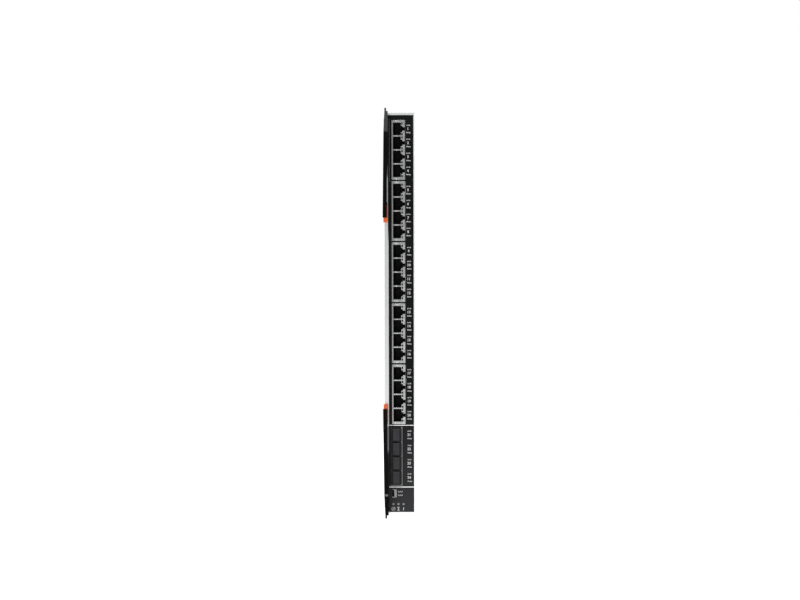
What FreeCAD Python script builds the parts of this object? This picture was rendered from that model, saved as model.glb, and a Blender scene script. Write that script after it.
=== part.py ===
import FreeCAD, Part
import os
import re

import Sketcher

# A blade ethernet switch, the network module of a blade chassis, in millimetres.
# X is the module's thickness, Y its depth with the front plate at the low end, and Z its
# length as it stands in its bay. The origin is on the outer face of the lower end wall,
# in the middle of the thickness and of the depth.

# The driving sizes. Each one is a cell of the sheet, under its alias.
SIZES = [
    ("module_thick", 30.0, "left side to right side"),
    ("module_deep", 317.0, "front plate to rear wall"),
    ("module_long", 401.0, "lower end wall to upper end wall"),
    ("sheet", 1.0, "gauge of the tray, the cover and the front plate"),
    ("bend", 1.5, "outer radius of the tray's bends"),
    ("flange_wide", 8.0, "tray flanges under the cover"),
    ("slack", 0.1, "clearance round a piece that passes a cut-out"),

    ("vent_flats", 7.4, "hexagon vent across its flats"),
    ("vent_pitch", 9.0, "vent to vent"),
    ("vent_columns", 16, "vents in the outer rows"),
    ("vent_first", 36.0, "front plate to the first vent"),
    ("vent_middle", 0.4, "middle row of vents, from the module's middle"),

    ("cover_hole_r", 1.7, "hole for a cover screw"),
    ("cover_head_r", 2.5, "countersunk head of a cover screw"),
    ("cover_screw_r", 1.5, "shank of a cover screw"),
    ("cover_screw_long", 5.0, "cover screw, over its head"),
    ("cover_screws_deep", 2, "cover screws along an end"),
    ("cover_screw_inset", 40.0, "front plate or rear wall to the nearest screw of an end"),
    ("rear_screws", 2, "cover screws along the rear"),
    ("rear_screw_inset", 100.0, "end wall to the nearest rear screw"),

    ("return_deep", 9.0, "front plate's return under the cover"),
    ("plate_corner", 0.8, "front plate's corner radius"),
    ("label_thick", 0.4, "printed overlay"),
    ("label_left", 3.9, "bare strip left of the overlay"),
    ("label_right", 1.1, "bare edge right of the overlay"),
    ("label_low", 1.7, "bare edge under the overlay"),
    ("label_high", 2.4, "bare edge over the overlay"),
    ("gasket_thick", 1.5, "foam gasket behind the front plate"),
    ("gasket_border", 2.0, "gasket round the connectors"),

    ("standoff_gap", 4.1, "tray to the board"),
    ("standoff_flats", 5.6, "hexagon standoff across its flats"),
    ("standoff_bore_r", 1.45, "threaded bore of a standoff"),
    ("board_thick", 2.0, "main board"),
    ("board_front_gap", 3.0, "front plate's outer face to the board"),
    ("board_rear_gap", 8.5, "rear wall's outer face to the board"),
    ("board_end_gap", 4.0, "end wall's outer face to the board"),
    ("board_hole_r", 1.7, "screw hole of the board"),
    ("screw_front", 58.5, "front plate to the first column of board screws"),
    ("screw_rear", 28.5, "rear wall to the last column of board screws"),
    ("screw_columns", 2, "columns of board screws"),
    ("screw_end", 20.0, "end wall to the nearest board screw"),
    ("screw_rows", 3, "rows of board screws"),
    ("pan_head_r", 2.8, "head of a board screw"),
    ("pan_head_high", 1.6, "height of that head"),
    ("board_screw_r", 1.4, "shank of a board screw"),
    ("board_screw_grip", 3.0, "shank past the board"),

    ("port_pitch", 13.97, "jack port to port"),
    ("jack_end", 1.81, "block beyond its outer ports"),
    ("jack_web", 1.6, "block to block"),
    ("jack_low", 89.65, "lower end wall to the first block"),
    ("jack_high", 6.0, "room kept between the last block and the upper end wall"),
    ("jack_blocks", 5, "blocks of jacks"),
    ("jack_tall", 13.9, "block over the board"),
    ("jack_proud", 0.4, "block in front of the overlay"),
    ("shield_thick", 0.3, "plated shield"),
    ("shield_deep", 24.3, "shield, front to rear"),
    ("insert_deep", 22.0, "moulded insert, front to rear"),
    ("port_floor", 1.7, "board to a port's floor"),
    ("port_tall", 7.6, "port without its tab steps"),
    ("port_wide", 11.8, "port"),
    ("port_deep", 15.0, "port, front to back wall"),
    ("step_tall", 1.6, "first tab step"),
    ("step_wide", 6.2, "first tab step"),
    ("tab_tall", 2.3, "second tab step"),
    ("tab_wide", 3.4, "second tab step"),
    ("lamp_wide", 1.4, "lamp window"),
    ("lamp_tall", 2.2, "lamp window"),
    ("lamp_deep", 2.0, "lamp"),
    ("lamp_rise", 9.7, "board to the lamp's near edge"),
    ("lamp_offset", 5.4, "port's middle to a lamp's middle"),
    ("contacts", 8, "contacts in a port"),
    ("contact_pitch", 1.02, "contact to contact"),
    ("contact_wide", 0.46, "contact"),
    ("contact_thick", 0.4, "contact"),
    ("contact_start", 3.6, "port's mouth to the contact's foot"),
    ("contact_rise", 2.2, "contact over the floor at the back wall"),

    ("bay_pitch", 14.25, "cage bay to bay"),
    ("bays", 4, "bays in the cage"),
    ("bay_wide", 13.65, "inside of a bay"),
    ("bay_tall", 9.3, "inside of a bay"),
    ("cage_wall", 0.25, "cage floor and roof"),
    ("cage_low", 29.0, "lower end wall to the cage"),
    ("cage_deep", 48.0, "cage behind its rim"),
    ("cage_back", 1.0, "cage's rear wall"),
    ("rim_thick", 0.6, "rim in front of the overlay"),
    ("rim_left", 1.8, "rim past the cage, board side"),
    ("rim_right", 0.5, "rim past the cage, far side"),
    ("rim_end", 0.7, "rim past the cage's ends"),
    ("plug_slack", 0.1, "dust plug to its bay"),
    ("plug_deep", 12.0, "plug inside the bay"),
    ("plug_sunk", 0.8, "plug's shoulder behind the rim"),
    ("grip_wide", 6.8, "grip of a plug"),
    ("grip_tall", 12.0, "grip of a plug"),
    ("grip_proud", 5.0, "grip in front of its shoulder"),
    ("grip_round", 1.0, "grip's edge radius"),
    ("transceiver_tall", 6.0, "connector in a bay"),
    ("transceiver_wide", 9.0, "connector in a bay"),
    ("transceiver_deep", 9.0, "connector in a bay"),

    ("serial_low", 16.4, "lower end wall to the serial receptacle"),
    ("serial_long", 7.8, "serial receptacle"),
    ("serial_tall", 4.3, "serial receptacle over the board"),
    ("serial_deep", 9.2, "serial receptacle"),
    ("serial_wall", 0.35, "its shell"),
    ("serial_proud", 0.3, "in front of the overlay"),
    ("tongue_tall", 2.0, "tongue in the receptacle"),
    ("tongue_sunk", 0.6, "tongue behind the shell's front"),

    ("lights", 3, "status lights"),
    ("light_r", 1.0, "light pipe"),
    ("light_first", 8.1, "left side to the first light"),
    ("light_pitch", 5.1, "light to light"),
    ("light_low", 9.7, "lower end wall to the lights"),
    ("light_deep", 9.0, "light pipe, front to its leg"),
    ("light_leg", 1.6, "square leg of a light pipe"),

    ("pivot_deep", 3.0, "front face to the lever's pivot"),
    ("pivot_high", 9.0, "end wall to the lever's pivot"),
    ("pin_r", 2.4, "pivot pin"),
    ("pin_slack", 0.08, "lever bore to pin"),
    ("pin_head_r", 4.0, "pivot pin's head"),
    ("pin_head_thick", 0.8, "pivot pin's head"),
    ("pin_tail_r", 1.5, "pivot pin's riveted tail in the bracket"),
    ("boss_r", 6.0, "lever's pivot boss"),
    ("notch_wide", 3.8, "corner notch for the lever"),
    ("notch_deep", 20.0, "corner notch for the lever"),
    ("notch_long", 18.0, "corner notch for the lever"),
    ("lever_gap", 0.8, "lever to the front plate"),
    ("lever_side_gap", 0.4, "lever to the notch's wall and the overlay"),
    ("lever_long", 104.8, "end wall to the lever's tip"),
    ("lever_hub_out", 10.5, "front face to the lever's front at the hub"),
    ("lever_tip_out", 8.6, "front face to the lever's front at the tip"),
    ("hub_long", 19.0, "end wall to the lever's crease"),
    ("toe_out", 5.5, "front face to the lever's front at the toe"),
    ("toe_low", 4.6, "toe past the end wall"),
    ("toe_shoulder", 1.4, "toe's shoulder past the end wall"),
    ("toe_wide", 1.8, "toe"),
    ("toe_lean", 1.0, "toe's front edge leans back by this"),
    ("arm_tip_proud", 2.0, "arm past the module's side at its tip"),
    ("arm_hub_proud", 1.0, "arm past the module's side at the crease"),
    ("arm_taper_low", 48.0, "end wall to the start of the arm's taper"),
    ("arm_taper_high", 62.0, "end wall to the end of the arm's taper"),
    ("arm_taper", 1.2, "width that the taper takes off"),
    ("arm_round", 0.5, "arm's front edge radius"),
    ("bracket_long", 22.0, "lever bracket over the end wall's outer face"),
    ("bracket_deep", 24.0, "lever bracket behind the front plate's outer face"),
    ("bracket_foot", 8.2, "lever bracket's foot on the end wall"),

    ("channel_long", 20.3, "latch channel in the arm's tip"),
    ("channel_wall", 0.7, "arm's outer wall at the channel"),
    ("channel_front", 1.1, "arm's front wall at the channel"),
    ("channel_lip", 0.8, "arm's rear lip at the channel"),
    ("channel_lip_wide", 1.0, "rear lip past the outer wall"),
    ("latch_slack", 0.1, "latch to its channel"),
    ("latch_wide", 4.2, "latch bar"),
    ("latch_proud", 5.0, "latch past the arm's tip"),
    ("latch_travel", 2.5, "latch travel"),
    ("latch_round", 0.7, "latch tip's edge radius"),
    ("spring_long", 7.8, "latch spring at rest"),
    ("spring_strip", 0.4, "spring strip"),
    ("spring_wide", 2.0, "spring strip's width"),
    ("spring_folds", 4, "folds of the spring"),
    ("catch_thick", 1.3, "latch's catch, across"),
    ("catch_side", 1.3, "module's side to the catch"),
    ("catch_start", 1.0, "latch's inner end to the catch"),
    ("catch_long", 4.0, "catch, along the lever"),
    ("catch_deep", 2.5, "catch behind the front face"),
    ("slot_margin", 1.0, "catch to the ends of its slot"),

    ("switch_back", 0.437, "switch chip's middle, as a share of the depth"),
    ("switch_up", 0.5, "switch chip's middle, as a share of the length"),
    ("chip_wide", 40.0, "switch chip's carrier"),
    ("chip_thick", 1.2, "switch chip's carrier"),
    ("lid_wide", 34.0, "switch chip's lid"),
    ("lid_thick", 1.6, "switch chip's lid"),
    ("sink_wide", 64.0, "switch heat sink"),
    ("sink_base", 3.0, "heat sink base"),
    ("fin_high", 12.5, "heat sink fins"),
    ("fin_thick", 1.0, "heat sink fin"),
    ("fin_pitch", 4.2, "heat sink fin to fin"),
    ("fins", 16, "fins of the switch heat sink"),
    ("processor_back", 0.737, "processor's middle, as a share of the depth"),
    ("processor_up", 0.25, "processor's middle, as a share of the length"),
    ("processor_wide", 27.0, "processor"),
    ("processor_thick", 2.2, "processor"),
    ("small_sink_wide", 39.0, "processor heat sink"),
    ("small_fins", 9, "fins of the processor heat sink"),
    ("memory_back", 0.708, "memory socket's front, as a share of the depth"),
    ("memory_up", 0.515, "memory socket's middle, as a share of the length"),
    ("memory_long", 72.0, "memory socket"),
    ("socket_deep", 8.0, "memory socket's bar"),
    ("socket_tall", 4.6, "memory socket"),
    ("socket_arm", 2.0, "memory socket's arms"),
    ("memory_deep", 28.0, "memory module"),
    ("memory_thick", 1.2, "memory module"),
    ("memory_rise", 2.2, "board to the memory module"),
    ("memory_grip", 5.0, "memory module inside its socket"),
    ("memory_chips", 4, "chips on the memory module"),
    ("memory_chip_wide", 12.0, "chip of the memory module"),
    ("memory_chip_thick", 1.1, "chip of the memory module"),
    ("memory_chip_pitch", 16.0, "chip to chip"),
    ("port_chip_y", 43.5, "front plate to the port chips"),
    ("port_chip_wide", 19.0, "port chip"),
    ("port_chip_thick", 1.6, "port chip"),
    ("converter_back", 0.72, "converter's middle, as a share of the depth"),
    ("power_up", 0.785, "middle of the converter and its inductors, as a share of the length"),
    ("converter_wide", 38.0, "power converter"),
    ("converter_long", 58.0, "power converter"),
    ("converter_tall", 10.5, "power converter"),
    ("coils", 4, "power inductors"),
    ("coil_wide", 12.0, "power inductor"),
    ("coil_tall", 8.0, "power inductor"),
    ("coil_back", 0.575, "inductors' middle, as a share of the depth"),
    ("coil_pitch", 15.3, "inductor to inductor"),

    ("plug_in_deep", 20.5, "rear connectors"),
    ("plug_in_tall", 15.0, "rear connectors over the board"),
    ("signal_blocks", 4, "signal connectors"),
    ("signal_long", 50.0, "signal connector"),
    ("signal_pitch", 56.0, "signal connector to connector"),
    ("contact_slots", 9, "slots in a signal connector"),
    ("contact_slot_pitch", 5.0, "slot to slot"),
    ("contact_slot_wide", 1.6, "slot in a signal connector"),
    ("contact_slot_long", 11.0, "slot in a signal connector"),
    ("contact_slot_deep", 6.0, "slots of the rear connectors"),
    ("power_gap", 10.0, "last signal connector to the power connector"),
    ("power_long", 30.0, "power connector"),
    ("power_slots", 3, "blades of the power connector"),
    ("power_slot_pitch", 8.5, "blade to blade"),
    ("power_slot_wide", 2.4, "blade slot"),
    ("guides", 2, "guide sockets"),
    ("guide_pitch", 300.0, "guide socket to guide socket"),
    ("guide_wide", 14.0, "guide socket"),
    ("guide_r", 3.2, "guide socket's bore"),
    ("guide_deep", 14.0, "guide socket's bore"),
    ("guide_mouth", 1.2, "guide socket's mouth chamfer"),
    ("rear_clear", 0.3, "rear connectors to the rear wall"),
]
ALIASES = {alias for alias, size, note in SIZES}

document = FreeCAD.newDocument("BladeSwitch")
sheet = document.addObject("Spreadsheet::Sheet", "Sizes")
for row, (alias, size, note) in enumerate(SIZES, 1):
    sheet.set("A%d" % row, alias)
    sheet.set("B%d" % row, str(size))
    sheet.set("C%d" % row, note)
    sheet.setAlias("B%d" % row, alias)
document.recompute()

# Planes and levels that many pieces share, as expressions of the sheet's sizes.
LEFT = "(-module_thick / 2)"
RIGHT = "(module_thick / 2)"
FRONT = "(-module_deep / 2)"
REAR = "(module_deep / 2)"
TOP = "module_long"
PLATE_BACK = "(-module_deep / 2 + sheet)"
FLANGE_TOP = "(module_thick / 2 - sheet)"
FLANGE_UNDER = "(module_thick / 2 - 2 * sheet)"
LABEL_FRONT = "(-module_deep / 2 - label_thick)"
BOARD_UNDER = "(-module_thick / 2 + sheet + standoff_gap)"
BOARD_TOP = "(-module_thick / 2 + sheet + standoff_gap + board_thick)"

ENDS = ("lower", "upper")
ROLES = {"top": "XY_Plane", "front": "XZ_Plane", "side": "YZ_Plane"}
# The world direction in which each plane's own normal points.
NORMALS = {"XY_Plane": 1, "XZ_Plane": -1, "YZ_Plane": 1}


def bound(text):
    """The expression with every alias written as its cell of the sheet."""
    def cell(word):
        return "Sizes." + word.group() if word.group() in ALIASES else word.group()
    return re.sub(r"[a-z]\w*", cell, text)


def value(text):
    """What an expression comes to, for code that counts or compares."""
    return float(sheet.evalExpression(bound(text)))


def from_end(end, text):
    """A height over the lower end wall, or the same distance under the upper one."""
    return text if end == "lower" else "(module_long - (%s))" % text


def inward(end):
    """The direction along Z that leads from an end wall into the module."""
    return 1 if end == "lower" else -1


# Tools that make a body's features, each bound to the sheet.

def new_body(label):
    body = document.addObject("PartDesign::Body", label)
    body.Label = label
    return body


def origin_item(body, role):
    """One of the body's own origin planes or axes."""
    return [item for item in body.Origin.OriginFeatures if item.Role == role][0]


def new_sketch(body, name, plane, at, shift=("0", "0")):
    """A sketch on a plane across Z (top), Y (front) or X (side), at a level along that axis."""
    role = ROLES[plane]
    sketch = body.newObject("Sketcher::SketchObject", name)
    sketch.AttachmentSupport = (origin_item(body, role), [""])
    sketch.MapMode = "FlatFace"
    level = "-(%s)" % at if NORMALS[role] < 0 else at
    sketch.setExpression("AttachmentOffset.Base.x", bound(shift[0]))
    sketch.setExpression("AttachmentOffset.Base.y", bound(shift[1]))
    sketch.setExpression("AttachmentOffset.Base.z", bound(level))
    return sketch


def bind_point(sketch, geometry, point, place):
    """Hold a point of the sketch at a place, given as two expressions."""
    for kind, text in zip(("DistanceX", "DistanceY"), place):
        rule = Sketcher.Constraint(kind, -1, 1, geometry, point, value(text))
        number = sketch.addConstraint(rule)
        sketch.setExpression("Constraints[%d]" % number, bound(text))


def outline(sketch, places):
    """A closed outline through places, each a pair of expressions."""
    first = sketch.GeometryCount
    corners = [FreeCAD.Vector(value(across), value(up), 0) for across, up in places]
    count = len(corners)
    for index in range(count):
        sketch.addGeometry(Part.LineSegment(corners[index], corners[(index + 1) % count]))
    for index in range(count):
        following = first + (index + 1) % count
        sketch.addConstraint(Sketcher.Constraint("Coincident", first + index, 2, following, 1))
    for index, place in enumerate(places):
        bind_point(sketch, first + index, 1, place)


def rectangle(sketch, low, high, start, end):
    """A rectangle from low to high across, and from start to end up."""
    outline(sketch, [(low, start), (high, start), (high, end), (low, end)])


def hexagon(sketch, across, up, flats):
    """A hexagon with two of its corners across."""
    corner = "%s / sqrt(3)" % flats
    outline(sketch, [("%s + %s" % (across, corner), up),
                     ("%s + %s / 2" % (across, corner), "%s + %s / 2" % (up, flats)),
                     ("%s - %s / 2" % (across, corner), "%s + %s / 2" % (up, flats)),
                     ("%s - %s" % (across, corner), up),
                     ("%s - %s / 2" % (across, corner), "%s - %s / 2" % (up, flats)),
                     ("%s + %s / 2" % (across, corner), "%s - %s / 2" % (up, flats))])


def circle(sketch, across, up, radius):
    centre = FreeCAD.Vector(value(across), value(up), 0)
    axis = FreeCAD.Vector(0, 0, 1)
    index = sketch.addGeometry(Part.Circle(centre, axis, value(radius)))
    number = sketch.addConstraint(Sketcher.Constraint("Radius", index, value(radius)))
    sketch.setExpression("Constraints[%d]" % number, bound(radius))
    bind_point(sketch, index, 3, (across, up))


def plane_normal(sketch):
    return NORMALS[sketch.AttachmentSupport[0][0].Role]


def pad(body, name, sketch, length, toward=1):
    """Material from the sketch, toward the high (1) or low (-1) end of its axis."""
    feature = body.newObject("PartDesign::Pad", name)
    feature.Profile = sketch
    feature.setExpression("Length", bound(length))
    feature.Reversed = plane_normal(sketch) != toward
    document.recompute()
    return feature


def pocket(body, name, sketch, length, toward=1):
    """A cut from the sketch, toward the high (1) or low (-1) end of its axis."""
    before = body.Shape.Volume
    feature = body.newObject("PartDesign::Pocket", name)
    feature.Profile = sketch
    feature.setExpression("Length", bound(length))
    feature.Reversed = plane_normal(sketch) == toward
    document.recompute()
    if not body.Shape.Volume < before:
        raise RuntimeError("%s of %s cuts nothing" % (name, body.Label))
    return feature


def repeat(body, name, features, axis, pitch, count, groups=None):
    """Copies of features in a row along X, Y or Z, and groups of such rows if asked for."""
    feature = body.newObject("PartDesign::LinearPattern", name)
    feature.Originals = features
    feature.Direction = (origin_item(body, axis + "_Axis"), [""])
    feature.Mode = "Spacing"
    feature.setExpression("Offset", bound(pitch))
    feature.setExpression("Occurrences", bound(count))
    if groups:
        feature.Direction2 = (origin_item(body, groups[0] + "_Axis"), [""])
        feature.Mode2 = "Spacing"
        # The list of single spacings is only dropped by a recompute before the count is set.
        document.recompute()
        feature.setExpression("Offset2", bound(groups[1]))
        feature.setExpression("Occurrences2", bound(groups[2]))
    body.Tip = feature
    document.recompute()
    return feature


def edge_names(body, test):
    """The names of the edges whose middle point and run direction pass the test."""
    names = []
    for number, edge in enumerate(body.Tip.Shape.Edges, 1):
        middle = edge.valueAt((edge.FirstParameter + edge.LastParameter) / 2)
        run = edge.tangentAt((edge.FirstParameter + edge.LastParameter) / 2)
        if test(middle, run, edge):
            names.append("Edge%d" % number)
    return names


def dress(body, kind, name, size_name, size, test):
    """A fillet or a chamfer on the edges that pass the test."""
    base = body.Tip
    names = edge_names(body, test)
    feature = body.newObject("PartDesign::" + kind, name)
    feature.Base = (base, names)
    feature.setExpression(size_name, bound(size))
    document.recompute()
    return feature


def fillet(body, name, radius, test):
    return dress(body, "Fillet", name, "Radius", radius, test)


def chamfer(body, name, size, test):
    return dress(body, "Chamfer", name, "Size", size, test)


def near(one, other):
    return abs(one - other) < 0.001


def lies_along(run, axis):
    return near(abs(getattr(run, axis)), 1)


def box_body(label, left, right, front, rear, low, high):
    """A body that is one block between six faces."""
    body = new_body(label)
    sketch = new_sketch(body, "footprint", "side", left)
    rectangle(sketch, front, rear, low, high)
    pad(body, "block", sketch, "(%s) - (%s)" % (right, left))
    return body


# Places that two or more pieces share.

# A jack has a standard size, so a block has as many ports as the module's length gives room for.
JACK_ROOM = "(module_long - jack_low - jack_high - (jack_blocks - 1) * jack_web)"
PORTS = "floor((%s / jack_blocks - 2 * jack_end) / port_pitch)" % JACK_ROOM
JACKS = range(1, int(value("jack_blocks")) + 1)


def jack_middle(number):
    """The middle of a jack block along Z."""
    block = "(%s * port_pitch + 2 * jack_end)" % PORTS
    return "(jack_low + %s / 2 + %d * (%s + jack_web))" % (block, number - 1, block)


JACK_HALF = "(%s * port_pitch / 2 + jack_end)" % PORTS
JACK_FRONT = "(-module_deep / 2 - label_thick - jack_proud)"
JACK_RIGHT = "(%s + jack_tall)" % BOARD_TOP
INSERT_FRONT = "(%s + shield_thick)" % JACK_FRONT
PORT_FLOOR = "(%s + port_floor)" % BOARD_TOP

CAGE_TALL = "(bay_tall + 2 * cage_wall)"
CAGE_RIGHT = "(%s + %s)" % (BOARD_TOP, CAGE_TALL)
CAGE_LONG = "(bays * bay_pitch)"
RIM_FRONT = "(%s - rim_thick)" % LABEL_FRONT
PLUG_SHOULDER = "(%s + plug_sunk)" % RIM_FRONT

SERIAL_FRONT = "(%s - serial_proud)" % LABEL_FRONT
PIVOT_Y = "(%s + pivot_deep)" % FRONT
NOTCH_RIGHT = "(%s + notch_wide)" % LEFT
LEVER_RIGHT = "(%s + notch_wide - lever_side_gap)" % LEFT
LEVER_BACK = "(%s - lever_gap)" % FRONT
LATCH_END = "(lever_long - channel_long + spring_long)"
CATCH_LOW = "(%s + catch_start)" % LATCH_END
CONNECTOR_FRONT = "(%s - plug_in_deep)" % REAR
CONNECTOR_RIGHT = "(%s + plug_in_tall)" % BOARD_TOP

# The rear connectors and their guide sockets stand round the middle of the length.
SIGNALS_LONG = "((signal_blocks - 1) * signal_pitch + signal_long)"
SIGNAL_LOW = "((module_long - %s - power_gap - power_long) / 2)" % SIGNALS_LONG
POWER_LOW = "(%s + %s + power_gap)" % (SIGNAL_LOW, SIGNALS_LONG)
GUIDE_LOW = "((module_long - (guides - 1) * guide_pitch) / 2)"

SCREW_Y = "(%s + screw_front)" % FRONT
SCREW_GRID = ("(module_deep - screw_front - screw_rear) / (screw_columns - 1)",
              "(module_long - 2 * screw_end) / (screw_rows - 1)")


def port_first(number):
    """The lowest port of a jack block, along Z."""
    return "(%s - (%s - 1) * port_pitch / 2)" % (jack_middle(number), PORTS)


def port_outline(sketch, middle, grow="0"):
    """A port's mouth with its two tab steps, grown all round."""
    level = "(%s - %s)" % (PORT_FLOOR, grow)
    body_top = "(%s + port_tall + %s)" % (PORT_FLOOR, grow)
    step_top = "(%s + port_tall + step_tall + %s)" % (PORT_FLOOR, grow)
    tab_top = "(%s + port_tall + step_tall + tab_tall + %s)" % (PORT_FLOOR, grow)
    profile = [(level, "port_wide"), (body_top, "port_wide"), (body_top, "step_wide"),
               (step_top, "step_wide"), (step_top, "tab_wide"), (tab_top, "tab_wide")]
    below = [(across, "%s - %s / 2 - %s" % (middle, wide, grow)) for across, wide in profile]
    above = [(across, "%s + %s / 2 + %s" % (middle, wide, grow)) for across, wide in profile]
    outline(sketch, below + above[::-1])


def lamp_outlines(sketch, middle, inset="0"):
    """The two lamp windows beside a port."""
    near_edge = "(%s + lamp_rise + %s)" % (BOARD_TOP, inset)
    far_edge = "(%s + lamp_rise + lamp_wide - %s)" % (BOARD_TOP, inset)
    for side in ("-", "+"):
        centre = "(%s %s lamp_offset)" % (middle, side)
        rectangle(sketch, near_edge, far_edge,
                  "%s - lamp_tall / 2 + %s" % (centre, inset),
                  "%s + lamp_tall / 2 - %s" % (centre, inset))


def front_openings(body, level, depth, clear):
    """The cut-outs of the front plate and of the overlay on it."""
    jacks = new_sketch(body, "jack_openings", "front", level)
    for number in JACKS:
        rectangle(jacks, "%s - %s" % (BOARD_TOP, clear), "%s + %s" % (JACK_RIGHT, clear),
                  "%s - %s - %s" % (jack_middle(number), JACK_HALF, clear),
                  "%s + %s + %s" % (jack_middle(number), JACK_HALF, clear))
    pocket(body, "jack_cuts", jacks, depth)
    others = new_sketch(body, "cage_and_serial_openings", "front", level)
    rectangle(others, "%s - %s" % (BOARD_TOP, clear), "%s + %s" % (CAGE_RIGHT, clear),
              "cage_low - %s" % clear, "cage_low + %s + %s" % (CAGE_LONG, clear))
    rectangle(others, "%s - %s" % (BOARD_TOP, clear), "%s + serial_tall + %s" % (BOARD_TOP, clear),
              "serial_low - %s" % clear, "serial_low + serial_long + %s" % clear)
    pocket(body, "cage_and_serial_cuts", others, depth)


def light_openings(body, level, depth):
    """The holes for the status light pipes."""
    sketch = new_sketch(body, "light_openings", "front", level)
    circle(sketch, "%s + light_first" % LEFT, "light_low", "light_r + slack")
    cut = pocket(body, "light_cut", sketch, depth)
    repeat(body, "light_cuts", [cut], "X", "light_pitch", "lights")


def cover_screw_rows(body, make):
    """Repeat features at every cover screw, from one near each end and one at the rear."""
    ends = make("end", [("%s + cover_screw_inset" % FRONT, from_end(end, "flange_wide / 2"))
                        for end in ENDS])
    repeat(body, "end_row", ends, "Y",
           "(module_deep - 2 * cover_screw_inset) / (cover_screws_deep - 1)", "cover_screws_deep")
    rear = make("rear", [("%s - flange_wide / 2" % REAR, "rear_screw_inset")])
    repeat(body, "rear_row", rear, "Z",
           "(module_long - 2 * rear_screw_inset) / (rear_screws - 1)", "rear_screws")


def screw_grid(body, name, features):
    """Repeat features at every board screw."""
    repeat(body, name, features, "Y", SCREW_GRID[0], "screw_columns",
           ("Z", SCREW_GRID[1], "screw_rows"))


# The sheet metal.

def vent_rows(body):
    """Three staggered rows of hexagons, cut through both end walls at once."""
    row_gap = "vent_pitch * sqrt(3) / 2"
    start = "%s + vent_first" % FRONT
    outer = new_sketch(body, "outer_vent", "top", "-sheet")
    hexagon(outer, "vent_middle - " + row_gap, start, "vent_flats")
    hexagon(outer, "vent_middle + " + row_gap, start, "vent_flats")
    cut = pocket(body, "outer_vent_cut", outer, "module_long + 2 * sheet")
    repeat(body, "outer_vents", [cut], "Y", "vent_pitch", "vent_columns")
    middle = new_sketch(body, "middle_vent", "top", "-sheet")
    hexagon(middle, "vent_middle", start + " + vent_pitch / 2", "vent_flats")
    cut = pocket(body, "middle_vent_cut", middle, "module_long + 2 * sheet")
    repeat(body, "middle_vents", [cut], "Y", "vent_pitch", "vent_columns - 1")


def lever_notches(body, plane, level, depth, start, end):
    """The open corners that the levers' hubs turn in."""
    sketch = new_sketch(body, "lever_notches", plane, level)
    for name in ENDS:
        rectangle(sketch, start, end, from_end(name, "-sheet"), from_end(name, "notch_long"))
    pocket(body, "lever_notch_cuts", sketch, depth)


def rear_window(body):
    """The rear wall's one window, for the connectors and the guide sockets."""
    sketch = new_sketch(body, "rear_window", "front", REAR)
    rectangle(sketch, "%s - rear_clear" % BOARD_TOP, "%s + rear_clear" % CONNECTOR_RIGHT,
              "%s - guide_wide / 2 - rear_clear" % GUIDE_LOW,
              "module_long - %s + guide_wide / 2 + rear_clear" % GUIDE_LOW)
    pocket(body, "rear_window_cut", sketch, "sheet", -1)


def make_base_tray():
    body = new_body("base_tray")
    blank = new_sketch(body, "blank", "side", LEFT)
    rectangle(blank, PLATE_BACK, REAR, "0", TOP)
    pad(body, "folded_blank", blank, "module_thick - sheet")
    sides = (value(LEFT), value(FLANGE_TOP))
    ends = (0, value(TOP))

    def is_bend(middle, run, edge):
        at_side = any(near(middle.x, side) for side in sides)
        long_bend = lies_along(run, "y") and any(near(middle.z, end) for end in ends)
        rear_bend = lies_along(run, "z") and near(middle.y, value(REAR))
        return at_side and (long_bend or rear_bend)

    fillet(body, "bends", "bend", is_bend)
    mouth = new_sketch(body, "mouth", "side", FLANGE_TOP)
    rectangle(mouth, "%s - sheet" % PLATE_BACK, "%s - flange_wide" % REAR,
              "flange_wide", "%s - flange_wide" % TOP)
    pocket(body, "mouth_cut", mouth, "sheet", -1)
    hollow = new_sketch(body, "hollow", "side", FLANGE_UNDER)
    rectangle(hollow, "%s - sheet" % PLATE_BACK, "%s - sheet" % REAR, "sheet", "%s - sheet" % TOP)
    pocket(body, "hollow_cut", hollow, "module_thick - 3 * sheet", -1)
    lever_notches(body, "side", LEFT, "notch_wide", "%s - sheet" % FRONT, "%s + notch_deep" % FRONT)
    rear_window(body)

    def flange_holes(name, places):
        sketch = new_sketch(body, name + "_screw_holes", "side", FLANGE_TOP)
        for deep, up in places:
            circle(sketch, deep, up, "cover_hole_r")
        return [pocket(body, name + "_screw_hole_cuts", sketch, "sheet", -1)]

    cover_screw_rows(body, flange_holes)
    feet = new_sketch(body, "standoff_hole", "side", LEFT)
    hexagon(feet, SCREW_Y, "screw_end", "standoff_flats")
    screw_grid(body, "standoff_holes", [pocket(body, "standoff_hole_cut", feet, "sheet")])
    vent_rows(body)


def make_cover_panel():
    body = new_body("cover_panel")
    blank = new_sketch(body, "blank", "side", FLANGE_TOP)
    rectangle(blank, PLATE_BACK, REAR, "0", TOP)
    pad(body, "panel", blank, "sheet")

    def holes(name, places):
        sketch = new_sketch(body, name + "_screw_holes", "side", FLANGE_TOP)
        for deep, up in places:
            circle(sketch, deep, up, "cover_hole_r")
        return [pocket(body, name + "_screw_hole_cuts", sketch, "sheet")]

    cover_screw_rows(body, holes)

    def is_hole_rim(middle, run, edge):
        return near(middle.x, value(RIGHT)) and edge.Curve.TypeId == "Part::GeomCircle"

    chamfer(body, "countersinks", "cover_head_r + slack - cover_hole_r", is_hole_rim)


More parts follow.
